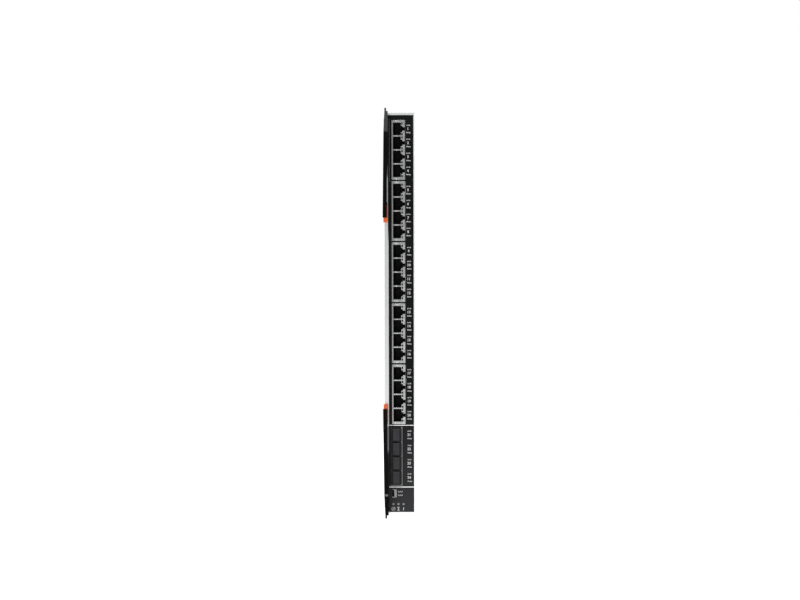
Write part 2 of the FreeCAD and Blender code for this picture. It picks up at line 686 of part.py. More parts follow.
def make_cover_screws():
    """Countersunk screws, each turned about its own axis from a half profile."""
    body = new_body("cover_screws")

    def turned(name, places):
        screws = []
        for deep, up in places:
            sketch = new_sketch(body, name + "_screw", "front", deep, ("0", up))
            under_head = "%s - (cover_head_r - cover_screw_r)" % RIGHT
            tip = "%s - cover_screw_long" % RIGHT
            outline(sketch, [(RIGHT, "0"), (RIGHT, "cover_head_r"),
                             (under_head, "cover_screw_r"), (tip, "cover_screw_r"), (tip, "0")])
            screw = body.newObject("PartDesign::Revolution", name + "_turned")
            screw.Profile = sketch
            screw.ReferenceAxis = (sketch, ["H_Axis"])
            screw.Angle = 360
            document.recompute()
            screws.append(screw)
        return screws

    cover_screw_rows(body, turned)


def latch_slot(end, sketch):
    """The slot in which a latch's catch enters the front plate."""
    left = "(%s + catch_side)" % LEFT
    low = "%s - latch_travel - slot_margin" % CATCH_LOW
    high = "%s + catch_long + slot_margin" % CATCH_LOW
    rectangle(sketch, left + " - slack", left + " + catch_thick + slack",
              from_end(end, low), from_end(end, high))


def make_front_plate():
    body = new_body("front_plate")
    blank = new_sketch(body, "blank", "front", FRONT)
    rectangle(blank, LEFT, RIGHT, "0", TOP)
    pad(body, "plate", blank, "sheet")

    def is_corner(middle, run, edge):
        return lies_along(run, "y")

    fillet(body, "corners", "plate_corner", is_corner)
    fold = new_sketch(body, "fold", "front", PLATE_BACK)
    rectangle(fold, FLANGE_UNDER, FLANGE_TOP, "flange_wide + sheet", "%s - flange_wide - sheet" % TOP)
    pad(body, "return_flange", fold, "return_deep")
    front_openings(body, FRONT, "sheet", "slack")
    light_openings(body, FRONT, "sheet")
    lever_notches(body, "front", FRONT, "sheet", "%s - sheet" % LEFT, NOTCH_RIGHT)
    slots = new_sketch(body, "latch_slots", "front", FRONT)
    for end in ENDS:
        latch_slot(end, slots)
    pocket(body, "latch_slot_cuts", slots, "sheet")


def make_face_label():
    body = new_body("face_label")
    blank = new_sketch(body, "blank", "front", LABEL_FRONT)
    rectangle(blank, "%s + label_left" % LEFT, "%s - label_right" % RIGHT,
              "label_low", "%s - label_high" % TOP)
    pad(body, "overlay", blank, "label_thick")
    front_openings(body, LABEL_FRONT, "label_thick", "slack")
    light_openings(body, LABEL_FRONT, "label_thick")


def make_emi_gasket():
    body = new_body("emi_gasket")
    blank = new_sketch(body, "blank", "front", PLATE_BACK)
    last = JACKS[-1]
    rectangle(blank, "%s - gasket_border" % BOARD_TOP, "%s + gasket_border" % JACK_RIGHT,
              "cage_low - gasket_border", "%s + %s + gasket_border" % (jack_middle(last), JACK_HALF))
    pad(body, "foam", blank, "gasket_thick")
    cuts = new_sketch(body, "openings", "front", PLATE_BACK)
    for number in JACKS:
        rectangle(cuts, "%s - slack" % BOARD_TOP, "%s + slack" % JACK_RIGHT,
                  "%s - %s - slack" % (jack_middle(number), JACK_HALF),
                  "%s + %s + slack" % (jack_middle(number), JACK_HALF))
    rectangle(cuts, "%s - slack" % BOARD_TOP, "%s + slack" % CAGE_RIGHT,
              "cage_low - slack", "cage_low + %s + slack" % CAGE_LONG)
    pocket(body, "opening_cuts", cuts, "gasket_thick")


def make_lever_bracket(end):
    """A folded plate: an upright that carries the pivot pin, and a foot on the end wall."""
    body = new_body(end + "_lever_bracket")
    profile = new_sketch(body, "profile", "front", "%s + slack" % PLATE_BACK)
    right = "%s + sheet" % NOTCH_RIGHT
    foot_right = "%s + bracket_foot" % NOTCH_RIGHT
    places = [(NOTCH_RIGHT, "sheet"), (foot_right, "sheet"), (foot_right, "2 * sheet"),
              (right, "2 * sheet"), (right, "bracket_long"), (NOTCH_RIGHT, "bracket_long")]
    outline(profile, [(across, from_end(end, up)) for across, up in places])
    pad(body, "folded_plate", profile, "bracket_deep - sheet - slack")
    hole = new_sketch(body, "pin_hole", "side", NOTCH_RIGHT)
    circle(hole, PIVOT_Y, from_end(end, "pivot_high"), "pin_tail_r")
    pocket(body, "pin_hole_cut", hole, "sheet")


# The ejector levers.

def make_lever(end):
    """A moulded arm with a toe past the end wall, a pivot boss and a channel for its latch."""
    body = new_body(end + "_lever")
    arm_left = "(%s - arm_tip_proud)" % LEFT
    profile = new_sketch(body, "side_profile", "side", arm_left)
    places = [(LEVER_BACK, "lever_long"), ("%s - lever_tip_out" % FRONT, "lever_long"),
              ("%s - lever_hub_out" % FRONT, "hub_long"), ("%s - toe_out" % FRONT, "-toe_shoulder"),
              ("%s - toe_out + toe_lean" % FRONT, "-toe_low"), (LEVER_BACK, "-toe_low")]
    outline(profile, [(deep, from_end(end, up)) for deep, up in places])
    pad(body, "arm", profile, "%s - %s" % (LEVER_RIGHT, arm_left))

    def is_front_edge(middle, run, edge):
        tall = abs(run.z) > abs(run.y)
        in_front = middle.y < value("%s - toe_out" % FRONT)
        return tall and in_front and near(middle.x, value(LEVER_RIGHT))

    trim = new_sketch(body, "front_outline", "front", "%s + lever_gap" % LEVER_BACK)
    rectangle(trim, "%s - module_thick" % LEFT, "%s + module_thick" % LEVER_RIGHT,
              from_end(end, "-lever_long"), from_end(end, "2 * lever_long"))
    toe_right = "(%s + toe_wide)" % LEFT
    arm_right = "(%s - arm_taper)" % LEVER_RIGHT
    places = [(LEFT, "-toe_low"), (toe_right, "-toe_low"), (toe_right, "-toe_shoulder"),
              (LEVER_RIGHT, "-toe_shoulder"), (LEVER_RIGHT, "arm_taper_low"),
              (arm_right, "arm_taper_high"), (arm_right, "lever_long"), (arm_left, "lever_long"),
              ("(%s - arm_hub_proud)" % LEFT, "hub_long"), (LEFT, "-toe_shoulder")]
    outline(trim, [(across, from_end(end, up)) for across, up in places])
    pocket(body, "trim_to_outline", trim, "module_thick", -1)
    fillet(body, "soft_edges", "arm_round", is_front_edge)
    boss = new_sketch(body, "boss", "side", LEFT)
    circle(boss, PIVOT_Y, from_end(end, "pivot_high"), "boss_r")
    pad(body, "pivot_boss", boss, "notch_wide - lever_side_gap")
    head = new_sketch(body, "head_recess", "side", arm_left)
    circle(head, PIVOT_Y, from_end(end, "pivot_high"), "pin_head_r + slack")
    pocket(body, "head_recess_cut", head, "arm_tip_proud + pin_head_thick + slack")
    bore = new_sketch(body, "bore", "side", arm_left)
    circle(bore, PIVOT_Y, from_end(end, "pivot_high"), "pin_r + pin_slack")
    pocket(body, "bore_cut", bore, "module_thick")
    channel = new_sketch(body, "channel", "top", from_end(end, "lever_long - channel_long"))
    inner = "(%s + channel_wall)" % arm_left
    lip = "(%s + channel_lip_wide)" % inner
    front = "(%s - lever_tip_out + channel_front)" % FRONT
    lip_front = "(%s - channel_lip)" % LEVER_BACK
    outline(channel, [(inner, front), (LEVER_RIGHT, front), (LEVER_RIGHT, FRONT), (lip, FRONT),
                      (lip, lip_front), (inner, lip_front)])
    pocket(body, "channel_cut", channel, "channel_long + sheet", inward(end))


def make_latch(end):
    """A bar that slides in the arm's channel, with a catch through the front plate."""
    body = new_body(end + "_latch")
    left = "(%s - arm_tip_proud + channel_wall + latch_slack)" % LEFT
    front = "(%s - lever_tip_out + channel_front + latch_slack)" % FRONT
    back = "(%s - channel_lip - latch_slack)" % LEVER_BACK
    section = new_sketch(body, "section", "top", from_end(end, LATCH_END))
    rectangle(section, left, "%s + latch_wide" % left, front, back)
    pad(body, "bar", section, "lever_long + latch_proud - %s" % LATCH_END, inward(end))
    tip = value(from_end(end, "lever_long + latch_proud"))

    def is_tip_edge(middle, run, edge):
        return near(middle.z, tip)

    fillet(body, "soft_tip", "latch_round", is_tip_edge)
    catch = new_sketch(body, "catch", "side", "%s + catch_side" % LEFT)
    rectangle(catch, back, "%s + catch_deep" % FRONT, from_end(end, CATCH_LOW),
              from_end(end, "%s + catch_long" % CATCH_LOW))
    pad(body, "catch_pad", catch, "catch_thick")


def make_latch_spring(end):
    """A strip folded to and fro between the arm's shoulder and the latch."""
    body = new_body(end + "_latch_spring")
    low = "lever_long - channel_long"
    left = "%s - arm_tip_proud + channel_wall + 2 * latch_slack" % LEFT
    front = "(%s - lever_tip_out + channel_front + 2 * latch_slack)" % FRONT
    back = "(%s - channel_lip - 2 * latch_slack)" % LEVER_BACK
    folds = int(value("spring_folds"))
    rise = "((spring_long - spring_strip) / spring_folds)"
    notch = "(spring_strip * (%s - %s) / (2 * %s))" % (back, front, rise)
    rear_side = [(front, low)]
    front_side = [(front, low + " + spring_strip")]
    for fold in range(1, folds):
        height = "(%s + %d * %s)" % (low, fold, rise)
        inner = height + " + spring_strip / 2"
        if fold % 2:
            rear_side += [(back, height), (back, height + " + spring_strip")]
            front_side.append(("%s - %s" % (back, notch), inner))
        else:
            front_side += [(front, height), (front, height + " + spring_strip")]
            rear_side.append(("%s + %s" % (front, notch), inner))
    last = "(%s + spring_long - spring_strip)" % low
    last_deep, last_lift = (back, 0) if folds % 2 else (front, 1)
    rear_side.append((last_deep, "%s + %d * spring_strip" % (last, last_lift)))
    front_side.append((last_deep, "%s + %d * spring_strip" % (last, 1 - last_lift)))
    sketch = new_sketch(body, "strip", "side", left)
    outline(sketch, [(deep, from_end(end, up)) for deep, up in rear_side + front_side[::-1]])
    pad(body, "folded_strip", sketch, "spring_wide")


def make_pivot_pin(end):
    """A shoulder rivet: a head, a shank for the lever's bore and a tail in the bracket."""
    body = new_body(end + "_pivot_pin")
    steps = [("head", "pin_head_r", "pin_head_thick"), ("shank", "pin_r", "notch_wide"),
             ("tail", "pin_tail_r", "notch_wide + sheet")]
    for name, radius, reach in steps:
        sketch = new_sketch(body, name, "side", LEFT)
        circle(sketch, PIVOT_Y, from_end(end, "pivot_high"), radius)
        pad(body, name + "_pad", sketch, reach)


# The jack blocks.

def make_jack_shield(number):
    body = new_body("jack_shield_%d" % number)
    middle = jack_middle(number)
    block = new_sketch(body, "block", "front", JACK_FRONT)
    rectangle(block, BOARD_TOP, JACK_RIGHT, "%s - %s" % (middle, JACK_HALF),
              "%s + %s" % (middle, JACK_HALF))
    pad(body, "folded_box", block, "shield_deep")
    inside = new_sketch(body, "inside", "front", "%s + shield_deep" % JACK_FRONT)
    rectangle(inside, "%s + shield_thick" % BOARD_TOP, "%s - shield_thick" % JACK_RIGHT,
              "%s - %s + shield_thick" % (middle, JACK_HALF),
              "%s + %s - shield_thick" % (middle, JACK_HALF))
    pocket(body, "inside_cut", inside, "shield_deep - shield_thick", -1)
    port = new_sketch(body, "port", "front", JACK_FRONT)
    port_outline(port, port_first(number), "slack")
    lamp_outlines(port, port_first(number))
    cut = pocket(body, "port_cut", port, "shield_thick")
    repeat(body, "port_cuts", [cut], "Z", "port_pitch", PORTS)


def make_jack_body(number):
    body = new_body("jack_body_%d" % number)
    middle = jack_middle(number)
    block = new_sketch(body, "block", "front", INSERT_FRONT)
    rectangle(block, "%s + shield_thick" % BOARD_TOP, "%s - shield_thick" % JACK_RIGHT,
              "%s - %s + shield_thick" % (middle, JACK_HALF),
              "%s + %s - shield_thick" % (middle, JACK_HALF))
    pad(body, "moulding", block, "insert_deep")
    port = new_sketch(body, "port", "front", INSERT_FRONT)
    port_outline(port, port_first(number))
    mouth = pocket(body, "port_cut", port, "port_deep")
    lamps = new_sketch(body, "lamps", "front", INSERT_FRONT)
    lamp_outlines(lamps, port_first(number))
    recess = pocket(body, "lamp_cut", lamps, "lamp_deep - shield_thick")
    repeat(body, "port_cuts", [mouth, recess], "Z", "port_pitch", PORTS)


def make_jack_lamps(number):
    body = new_body("jack_lamps_%d" % number)
    sketch = new_sketch(body, "lamp", "front", JACK_FRONT)
    lamp_outlines(sketch, port_first(number), "slack")
    lamp = pad(body, "lamp_pad", sketch, "lamp_deep")
    repeat(body, "lamp_pads", [lamp], "Z", "port_pitch", PORTS)


def make_jack_contacts(number):
    """Spring contacts that climb from the floor to the back wall, eight in a port."""
    body = new_body("jack_contacts_%d" % number)
    first = "%s - (contacts - 1) * contact_pitch / 2 - contact_wide / 2" % port_first(number)
    start = "(%s + contact_start)" % INSERT_FRONT
    back = "(%s + port_deep)" % INSERT_FRONT
    sketch = new_sketch(body, "blade", "top", first)
    outline(sketch, [(PORT_FLOOR, start), ("%s + contact_rise" % PORT_FLOOR, back),
                     ("%s + contact_rise - contact_thick" % PORT_FLOOR, back),
                     (PORT_FLOOR, "%s + 2 * contact_thick" % start)])
    blade = pad(body, "blade_pad", sketch, "contact_wide")
    repeat(body, "blade_pads", [blade], "Z", "contact_pitch", "contacts",
           ("Z", "port_pitch", PORTS))


# The cage, the receptacle and the lights.

def make_sfp_cage():
    body = new_body("sfp_cage")
    block = new_sketch(body, "block", "front", RIM_FRONT)
    rectangle(block, BOARD_TOP, CAGE_RIGHT, "cage_low", "cage_low + %s" % CAGE_LONG)
    pad(body, "folded_cage", block, "rim_thick + cage_deep")
    rim = new_sketch(body, "rim", "front", RIM_FRONT)
    rectangle(rim, "%s - rim_left" % BOARD_TOP, "%s + rim_right" % CAGE_RIGHT,
              "cage_low - rim_end", "cage_low + %s + rim_end" % CAGE_LONG)
    pad(body, "rim_pad", rim, "rim_thick")
    bay = new_sketch(body, "bay", "front", RIM_FRONT)
    rectangle(bay, "%s + cage_wall" % BOARD_TOP, "%s - cage_wall" % CAGE_RIGHT,
              "cage_low + bay_pitch / 2 - bay_wide / 2", "cage_low + bay_pitch / 2 + bay_wide / 2")
    cut = pocket(body, "bay_cut", bay, "rim_thick + cage_deep - cage_back")
    repeat(body, "bay_cuts", [cut], "Z", "bay_pitch", "bays")


def make_sfp_connectors():
    body = new_body("sfp_connectors")
    back = "(%s + rim_thick + cage_deep - cage_back)" % RIM_FRONT
    sketch = new_sketch(body, "block", "front", back)
    rectangle(sketch, "%s + cage_wall" % BOARD_TOP, "%s + cage_wall + transceiver_tall" % BOARD_TOP,
              "cage_low + bay_pitch / 2 - transceiver_wide / 2",
              "cage_low + bay_pitch / 2 + transceiver_wide / 2")
    block = pad(body, "moulding", sketch, "transceiver_deep", -1)
    repeat(body, "mouldings", [block], "Z", "bay_pitch", "bays")


def make_dust_plug(number):
    body = new_body("dust_plug_%d" % number)
    middle = "(cage_low + %d * bay_pitch - bay_pitch / 2)" % number
    left = "(%s + cage_wall + plug_slack)" % BOARD_TOP
    shank = new_sketch(body, "shank", "front", PLUG_SHOULDER)
    rectangle(shank, left, "%s + bay_tall - 2 * plug_slack" % left,
              "%s - bay_wide / 2 + plug_slack" % middle, "%s + bay_wide / 2 - plug_slack" % middle)
    pad(body, "shank_pad", shank, "plug_deep")
    grip = new_sketch(body, "grip", "front", PLUG_SHOULDER)
    rectangle(grip, left, "%s + grip_wide" % left, "%s - grip_tall / 2" % middle,
              "%s + grip_tall / 2" % middle)
    pad(body, "grip_pad", grip, "grip_proud", -1)
    nose = value("%s - grip_proud" % PLUG_SHOULDER)

    def is_grip_edge(middle, run, edge):
        return near(middle.y, nose)

    fillet(body, "soft_grip", "grip_round", is_grip_edge)


def make_usb_shell():
    body = new_body("usb_shell")
    block = new_sketch(body, "block", "front", SERIAL_FRONT)
    rectangle(block, BOARD_TOP, "%s + serial_tall" % BOARD_TOP, "serial_low",
              "serial_low + serial_long")
    pad(body, "folded_shell", block, "serial_deep")
    mouth = new_sketch(body, "mouth", "front", SERIAL_FRONT)
    rectangle(mouth, "%s + serial_wall" % BOARD_TOP, "%s + serial_tall - serial_wall" % BOARD_TOP,
              "serial_low + serial_wall", "serial_low + serial_long - serial_wall")
    pocket(body, "mouth_cut", mouth, "serial_deep - serial_wall")


def make_usb_tongue():
    body = new_body("usb_tongue")
    right = "%s + serial_tall - serial_wall" % BOARD_TOP
    sketch = new_sketch(body, "block", "front", "%s + tongue_sunk" % SERIAL_FRONT)
    rectangle(sketch, "%s - tongue_tall" % right, right, "serial_low + serial_wall",
              "serial_low + serial_long - serial_wall")
    pad(body, "moulding", sketch, "serial_deep - serial_wall - tongue_sunk")


def make_status_light_pipes():
    """Round pipes from the face, each with a square leg down to its lamp on the board."""
    body = new_body("status_light_pipes")
    for index in range(int(value("lights"))):
        across = "(%s + light_first + %d * light_pitch)" % (LEFT, index)
        rod = new_sketch(body, "rod", "front", LABEL_FRONT)
        circle(rod, across, "light_low", "light_r")
        pad(body, "rod_pad", rod, "light_deep")
        leg = new_sketch(body, "leg", "front", "%s + light_deep - light_leg" % LABEL_FRONT)
        rectangle(leg, BOARD_TOP, across, "light_low - light_leg / 2", "light_low + light_leg / 2")
        pad(body, "leg_pad", leg, "light_leg")


# The board and what stands on it.

def make_main_board():
    body = box_body("main_board", BOARD_UNDER, BOARD_TOP, "%s + board_front_gap" % FRONT,
                    "%s - board_rear_gap" % REAR, "board_end_gap", "%s - board_end_gap" % TOP)
    sketch = new_sketch(body, "screw_hole", "side", BOARD_UNDER)
    circle(sketch, SCREW_Y, "screw_end", "board_hole_r")
    screw_grid(body, "screw_holes", [pocket(body, "screw_hole_cut", sketch, "board_thick")])


def make_board_standoffs():
    """Hexagon standoffs pressed flush into the tray, with blind threaded bores."""
    body = new_body("board_standoffs")
    sketch = new_sketch(body, "post", "side", LEFT)
    hexagon(sketch, SCREW_Y, "screw_end", "standoff_flats")
    post = pad(body, "post_pad", sketch, "sheet + standoff_gap")
    bore = new_sketch(body, "bore", "side", BOARD_UNDER)
    circle(bore, SCREW_Y, "screw_end", "standoff_bore_r")
    hole = pocket(body, "bore_cut", bore, "standoff_gap", -1)
    screw_grid(body, "posts", [post, hole])


def make_board_screws():
    body = new_body("board_screws")
    head = new_sketch(body, "head", "side", BOARD_TOP)
    circle(head, SCREW_Y, "screw_end", "pan_head_r")
    cap = pad(body, "head_pad", head, "pan_head_high")
    shank = new_sketch(body, "shank", "side", BOARD_TOP)
    circle(shank, SCREW_Y, "screw_end", "board_screw_r")
    rod = pad(body, "shank_pad", shank, "board_thick + board_screw_grip", -1)
    screw_grid(body, "screws", [cap, rod])


SWITCH = ("(switch_back * module_deep)", "(switch_up * module_long)")
PROCESSOR = ("(processor_back * module_deep)", "(processor_up * module_long)")
POWER_UP = "(power_up * module_long)"


def on_board(label, deep, up, wide, long, tall, level=BOARD_TOP):
    """A block on the board, or at a level over it, centred at a depth and a height."""
    centre = "(%s + %s)" % (FRONT, deep)
    return box_body(label, level, "(%s + %s)" % (level, tall),
                    "%s - %s / 2" % (centre, wide), "%s + %s / 2" % (centre, wide),
                    "%s - %s / 2" % (up, long), "%s + %s / 2" % (up, long))


def make_switch_chip():
    deep, up = SWITCH
    body = on_board("switch_chip", deep, up, "chip_wide", "chip_wide", "chip_thick")
    lid = new_sketch(body, "lid", "side", "%s + chip_thick" % BOARD_TOP)
    rectangle(lid, "%s + %s - lid_wide / 2" % (FRONT, deep), "%s + %s + lid_wide / 2" % (FRONT, deep),
              up + " - lid_wide / 2", up + " + lid_wide / 2")
    pad(body, "lid_pad", lid, "lid_thick")


def make_heat_sink(label, place, wide, level, count):
    """A base with upright fins that run along the air's way, from end wall to end wall."""
    deep, up = place
    body = on_board(label, deep, up, wide, wide, "sink_base", level)
    fin = new_sketch(body, "fin", "side", "%s + sink_base" % level)
    first = "(%s + %s - (%s - 1) * fin_pitch / 2)" % (FRONT, deep, count)
    rectangle(fin, first + " - fin_thick / 2", first + " + fin_thick / 2",
              "%s - %s / 2" % (up, wide), "%s + %s / 2" % (up, wide))
    blade = pad(body, "fin_pad", fin, "fin_high")
    repeat(body, "fin_pads", [blade], "Y", "fin_pitch", count)


def make_memory():
    """A socket with two arms, and the module that lies in its slot and on its arms."""
    socket = new_body("memory_socket")
    front = "(%s + memory_back * module_deep)" % FRONT
    rear = "(%s + socket_deep - memory_grip + memory_deep)" % front
    low = "(memory_up * module_long - memory_long / 2)"
    top = "(memory_up * module_long + memory_long / 2)"
    plan = new_sketch(socket, "plan", "side", BOARD_TOP)
    outline(plan, [(front, low), (rear, low), (rear, low + " + socket_arm"),
                   (front + " + socket_deep", low + " + socket_arm"),
                   (front + " + socket_deep", top + " - socket_arm"),
                   (rear, top + " - socket_arm"), (rear, top), (front, top)])
    pad(socket, "moulding", plan, "socket_tall")
    slot = new_sketch(socket, "slot", "side", "%s + memory_rise" % BOARD_TOP)
    slot_front = front + " + socket_deep - memory_grip - slack"
    rectangle(slot, slot_front, rear + " + sheet", low + " + socket_arm / 2 - slack",
              top + " - socket_arm / 2 + slack")
    pocket(socket, "slot_cut", slot, "memory_thick + slack")
    module = new_body("memory_module")
    card = new_sketch(module, "card", "side", "%s + memory_rise" % BOARD_TOP)
    rectangle(card, front + " + socket_deep - memory_grip", rear,
              low + " + socket_arm / 2", top + " - socket_arm / 2")
    pad(module, "card_pad", card, "memory_thick")
    chip = new_sketch(module, "chip", "side", "%s + memory_rise + memory_thick" % BOARD_TOP)
    middle = "(memory_up * module_long - (memory_chips - 1) * memory_chip_pitch / 2)"
    rectangle(chip, front + " + socket_deep + memory_grip",
              front + " + socket_deep + memory_grip + memory_chip_wide",
              middle + " - memory_chip_wide / 2", middle + " + memory_chip_wide / 2")
    die = pad(module, "chip_pad", chip, "memory_chip_thick")
    repeat(module, "chip_pads", [die], "Z", "memory_chip_pitch", "memory_chips")


def make_phy_chips():
    """One port chip behind each jack block."""
    body = new_body("phy_chips")
    centre = "(%s + port_chip_y)" % FRONT
    sketch = new_sketch(body, "chips", "side", BOARD_TOP)
    for number in JACKS:
        rectangle(sketch, centre + " - port_chip_wide / 2", centre + " + port_chip_wide / 2",
                  "%s - port_chip_wide / 2" % jack_middle(number),
                  "%s + port_chip_wide / 2" % jack_middle(number))
    pad(body, "chip_pads", sketch, "port_chip_thick")


def make_power_converter():
    on_board("power_converter", "(converter_back * module_deep)", POWER_UP, "converter_wide",
             "converter_long", "converter_tall")


def make_power_inductors():
    first = "(%s - (coils - 1) * coil_pitch / 2)" % POWER_UP
    body = on_board("power_inductors", "(coil_back * module_deep)", first, "coil_wide",
                    "coil_wide", "coil_tall")
    repeat(body, "coils", [body.Tip], "Z", "coil_pitch", "coils")


# The rear connectors.

def make_midplane_connectors():
    body = box_body("midplane_connectors", BOARD_TOP, CONNECTOR_RIGHT, CONNECTOR_FRONT, REAR,
                    SIGNAL_LOW, "%s + signal_long" % SIGNAL_LOW)
    block = body.Tip
    half_row = "(contact_slots - 1) * contact_slot_pitch / 2"
    first = "%s + signal_long / 2 - %s" % (SIGNAL_LOW, half_row)
    middle = "(%s + plug_in_tall / 2)" % BOARD_TOP
    slots = new_sketch(body, "slots", "front", REAR)
    for index in range(int(value("contact_slots"))):
        centre = "(%s + %d * contact_slot_pitch)" % (first, index)
        rectangle(slots, middle + " - contact_slot_long / 2", middle + " + contact_slot_long / 2",
                  centre + " - contact_slot_wide / 2", centre + " + contact_slot_wide / 2")
    cut = pocket(body, "slot_cuts", slots, "contact_slot_deep", -1)
    repeat(body, "blocks", [block, cut], "Z", "signal_pitch", "signal_blocks")


def make_power_connector():
    body = box_body("power_connector", BOARD_TOP, CONNECTOR_RIGHT, CONNECTOR_FRONT, REAR,
                    POWER_LOW, "%s + power_long" % POWER_LOW)
    middle = "(%s + plug_in_tall / 2)" % BOARD_TOP
    half_row = "(power_slots - 1) * power_slot_pitch / 2"
    first = "(%s + power_long / 2 - %s)" % (POWER_LOW, half_row)
    slot = new_sketch(body, "slot", "front", REAR)
    rectangle(slot, middle + " - contact_slot_long / 2", middle + " + contact_slot_long / 2",
              first + " - power_slot_wide / 2", first + " + power_slot_wide / 2")
    cut = pocket(body, "slot_cut", slot, "contact_slot_deep", -1)
    repeat(body, "slot_cuts", [cut], "Z", "power_slot_pitch", "power_slots")


def make_guide_sockets():
    """Two blocks with blind bores, which find the chassis's guide pins."""
    body = box_body("guide_sockets", BOARD_TOP, CONNECTOR_RIGHT, CONNECTOR_FRONT, REAR,
                    "%s - guide_wide / 2" % GUIDE_LOW, "%s + guide_wide / 2" % GUIDE_LOW)
    block = body.Tip
    sketch = new_sketch(body, "bore", "front", REAR)
    circle(sketch, "%s + plug_in_tall / 2" % BOARD_TOP, GUIDE_LOW, "guide_r")
    bore = pocket(body, "bore_cut", sketch, "guide_deep", -1)
    repeat(body, "sockets", [block, bore], "Z", "guide_pitch", "guides")

    def is_mouth(middle, run, edge):
        return near(middle.y, value(REAR)) and edge.Curve.TypeId == "Part::GeomCircle"

    chamfer(body, "mouths", "guide_mouth", is_mouth)


make_base_tray()
make_cover_panel()
make_cover_screws()
make_front_plate()
make_face_label()
make_emi_gasket()
for lever_end in ENDS:
    make_lever_bracket(lever_end)
    make_lever(lever_end)
    make_latch(lever_end)
    make_latch_spring(lever_end)
    make_pivot_pin(lever_end)
for jack in JACKS:
    make_jack_shield(jack)
    make_jack_body(jack)
    make_jack_lamps(jack)
    make_jack_contacts(jack)
make_sfp_cage()
make_sfp_connectors()
for plug in range(1, int(value("bays")) + 1):
    make_dust_plug(plug)
make_usb_shell()
make_usb_tongue()
make_status_light_pipes()
make_main_board()
make_board_standoffs()
make_board_screws()
make_switch_chip()
make_heat_sink("switch_heat_sink", SWITCH, "sink_wide",
               "(%s + chip_thick + lid_thick)" % BOARD_TOP, "fins")
on_board("processor_chip", PROCESSOR[0], PROCESSOR[1], "processor_wide", "processor_wide",
         "processor_thick")
make_heat_sink("processor_heat_sink", PROCESSOR, "small_sink_wide",
               "(%s + processor_thick)" % BOARD_TOP, "small_fins")
make_memory()
make_phy_chips()
make_power_converter()
make_power_inductors()
make_midplane_connectors()
make_power_connector()
make_guide_sockets()

document.recompute()
for item in document.Objects:
    if "Invalid" in item.State or "Error" in item.State:
        raise RuntimeError("%s failed: %s" % (item.Label, item.State))
os.makedirs("parts", exist_ok=True)
bodies = [item for item in document.Objects if item.TypeId == "PartDesign::Body"]
for body in bodies:
    shape = body.Shape
    if shape.isNull() or not shape.isValid():
        raise RuntimeError("%s has no valid shape" % body.Label)
    shape.exportStep("parts/%s.step" % body.Label)
print("%d sub-parts written" % len(bodies))
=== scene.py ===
# %% [markdown]
# # A blade ethernet switch
# This lesson dresses the CAD model of a network module: a tall, slim box whose narrow
# front carries rows of jacks, a cage for plug-in transceivers and two ejector levers.
# The CAD solids are the frame. They keep their shapes, get real finishes here, and
# small things that only the eye needs are modelled on top of them.

# %% Load the frame
import math

import bpy
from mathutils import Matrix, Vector


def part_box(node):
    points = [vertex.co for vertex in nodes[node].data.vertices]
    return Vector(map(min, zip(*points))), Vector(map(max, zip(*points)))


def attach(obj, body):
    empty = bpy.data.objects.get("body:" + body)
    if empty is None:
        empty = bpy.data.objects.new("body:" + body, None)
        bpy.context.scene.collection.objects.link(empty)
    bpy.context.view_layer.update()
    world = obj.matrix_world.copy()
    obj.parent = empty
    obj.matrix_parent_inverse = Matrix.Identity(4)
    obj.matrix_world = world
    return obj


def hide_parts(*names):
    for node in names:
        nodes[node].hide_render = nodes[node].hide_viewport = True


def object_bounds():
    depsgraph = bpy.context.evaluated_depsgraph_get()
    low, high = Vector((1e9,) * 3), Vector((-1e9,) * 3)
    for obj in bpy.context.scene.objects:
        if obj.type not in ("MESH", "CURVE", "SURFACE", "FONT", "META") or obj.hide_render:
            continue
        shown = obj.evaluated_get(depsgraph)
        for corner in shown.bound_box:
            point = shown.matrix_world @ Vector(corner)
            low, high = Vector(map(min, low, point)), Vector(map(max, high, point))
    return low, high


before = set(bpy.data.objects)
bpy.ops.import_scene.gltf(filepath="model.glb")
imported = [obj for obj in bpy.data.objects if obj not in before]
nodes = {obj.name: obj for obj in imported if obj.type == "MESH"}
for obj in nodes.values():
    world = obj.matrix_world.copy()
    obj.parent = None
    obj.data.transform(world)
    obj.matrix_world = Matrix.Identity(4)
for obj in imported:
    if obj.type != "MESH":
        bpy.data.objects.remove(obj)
cad_box = [list(corner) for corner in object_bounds()]
MM = 0.001
JACKS = range(1, 6)
print("CAD box in mm:", [[round(v * 1000, 1) for v in corner] for corner in cad_box])

# %% [markdown]
# ## Camera
# The photograph looks straight at the narrow front from far away, so that nothing
# tapers. One pixel covers one millimetre at the front, which makes its frame 800 mm
# wide. A 135 mm lens on a 36 mm sensor does that from three metres. The module leans
# by a pixel over its length, and a roll of the camera gives the same lean. The front
# plate lies a little behind the levers' tips, where the CAD box starts.

# %% Camera
DISTANCE = 3.0
FRAME_WIDE = 0.8
SENSOR_WIDE = 36
FRONT_PLATE_BEHIND = 0.0105
CAMERA_X, CAMERA_Z = 0.0002, 0.2137
CAMERA_ROLL = math.radians(0.14)
camera_y = cad_box[0][1] - DISTANCE + FRONT_PLATE_BEHIND
bpy.ops.object.camera_add(location=(CAMERA_X, camera_y, CAMERA_Z),
                          rotation=(math.radians(90), CAMERA_ROLL, 0))
camera = bpy.context.object
camera.name = "front_camera"
camera.data.sensor_width = SENSOR_WIDE
camera.data.lens = SENSOR_WIDE * DISTANCE / FRAME_WIDE
camera.data.clip_end = 50
bpy.context.scene.camera = camera
print("lens", round(camera.data.lens, 1), "mm")

# %% [markdown]
# ## Floor, light and background
# A product shot on white has a floor that burns out to the same white as the
# background. Here the plane glows by itself, so it stays white with gentle lamps and
# the steel beside it isn't washed out. The world shows white to the camera and a softer
# grey to the metal, so that plated parts have something to mirror.

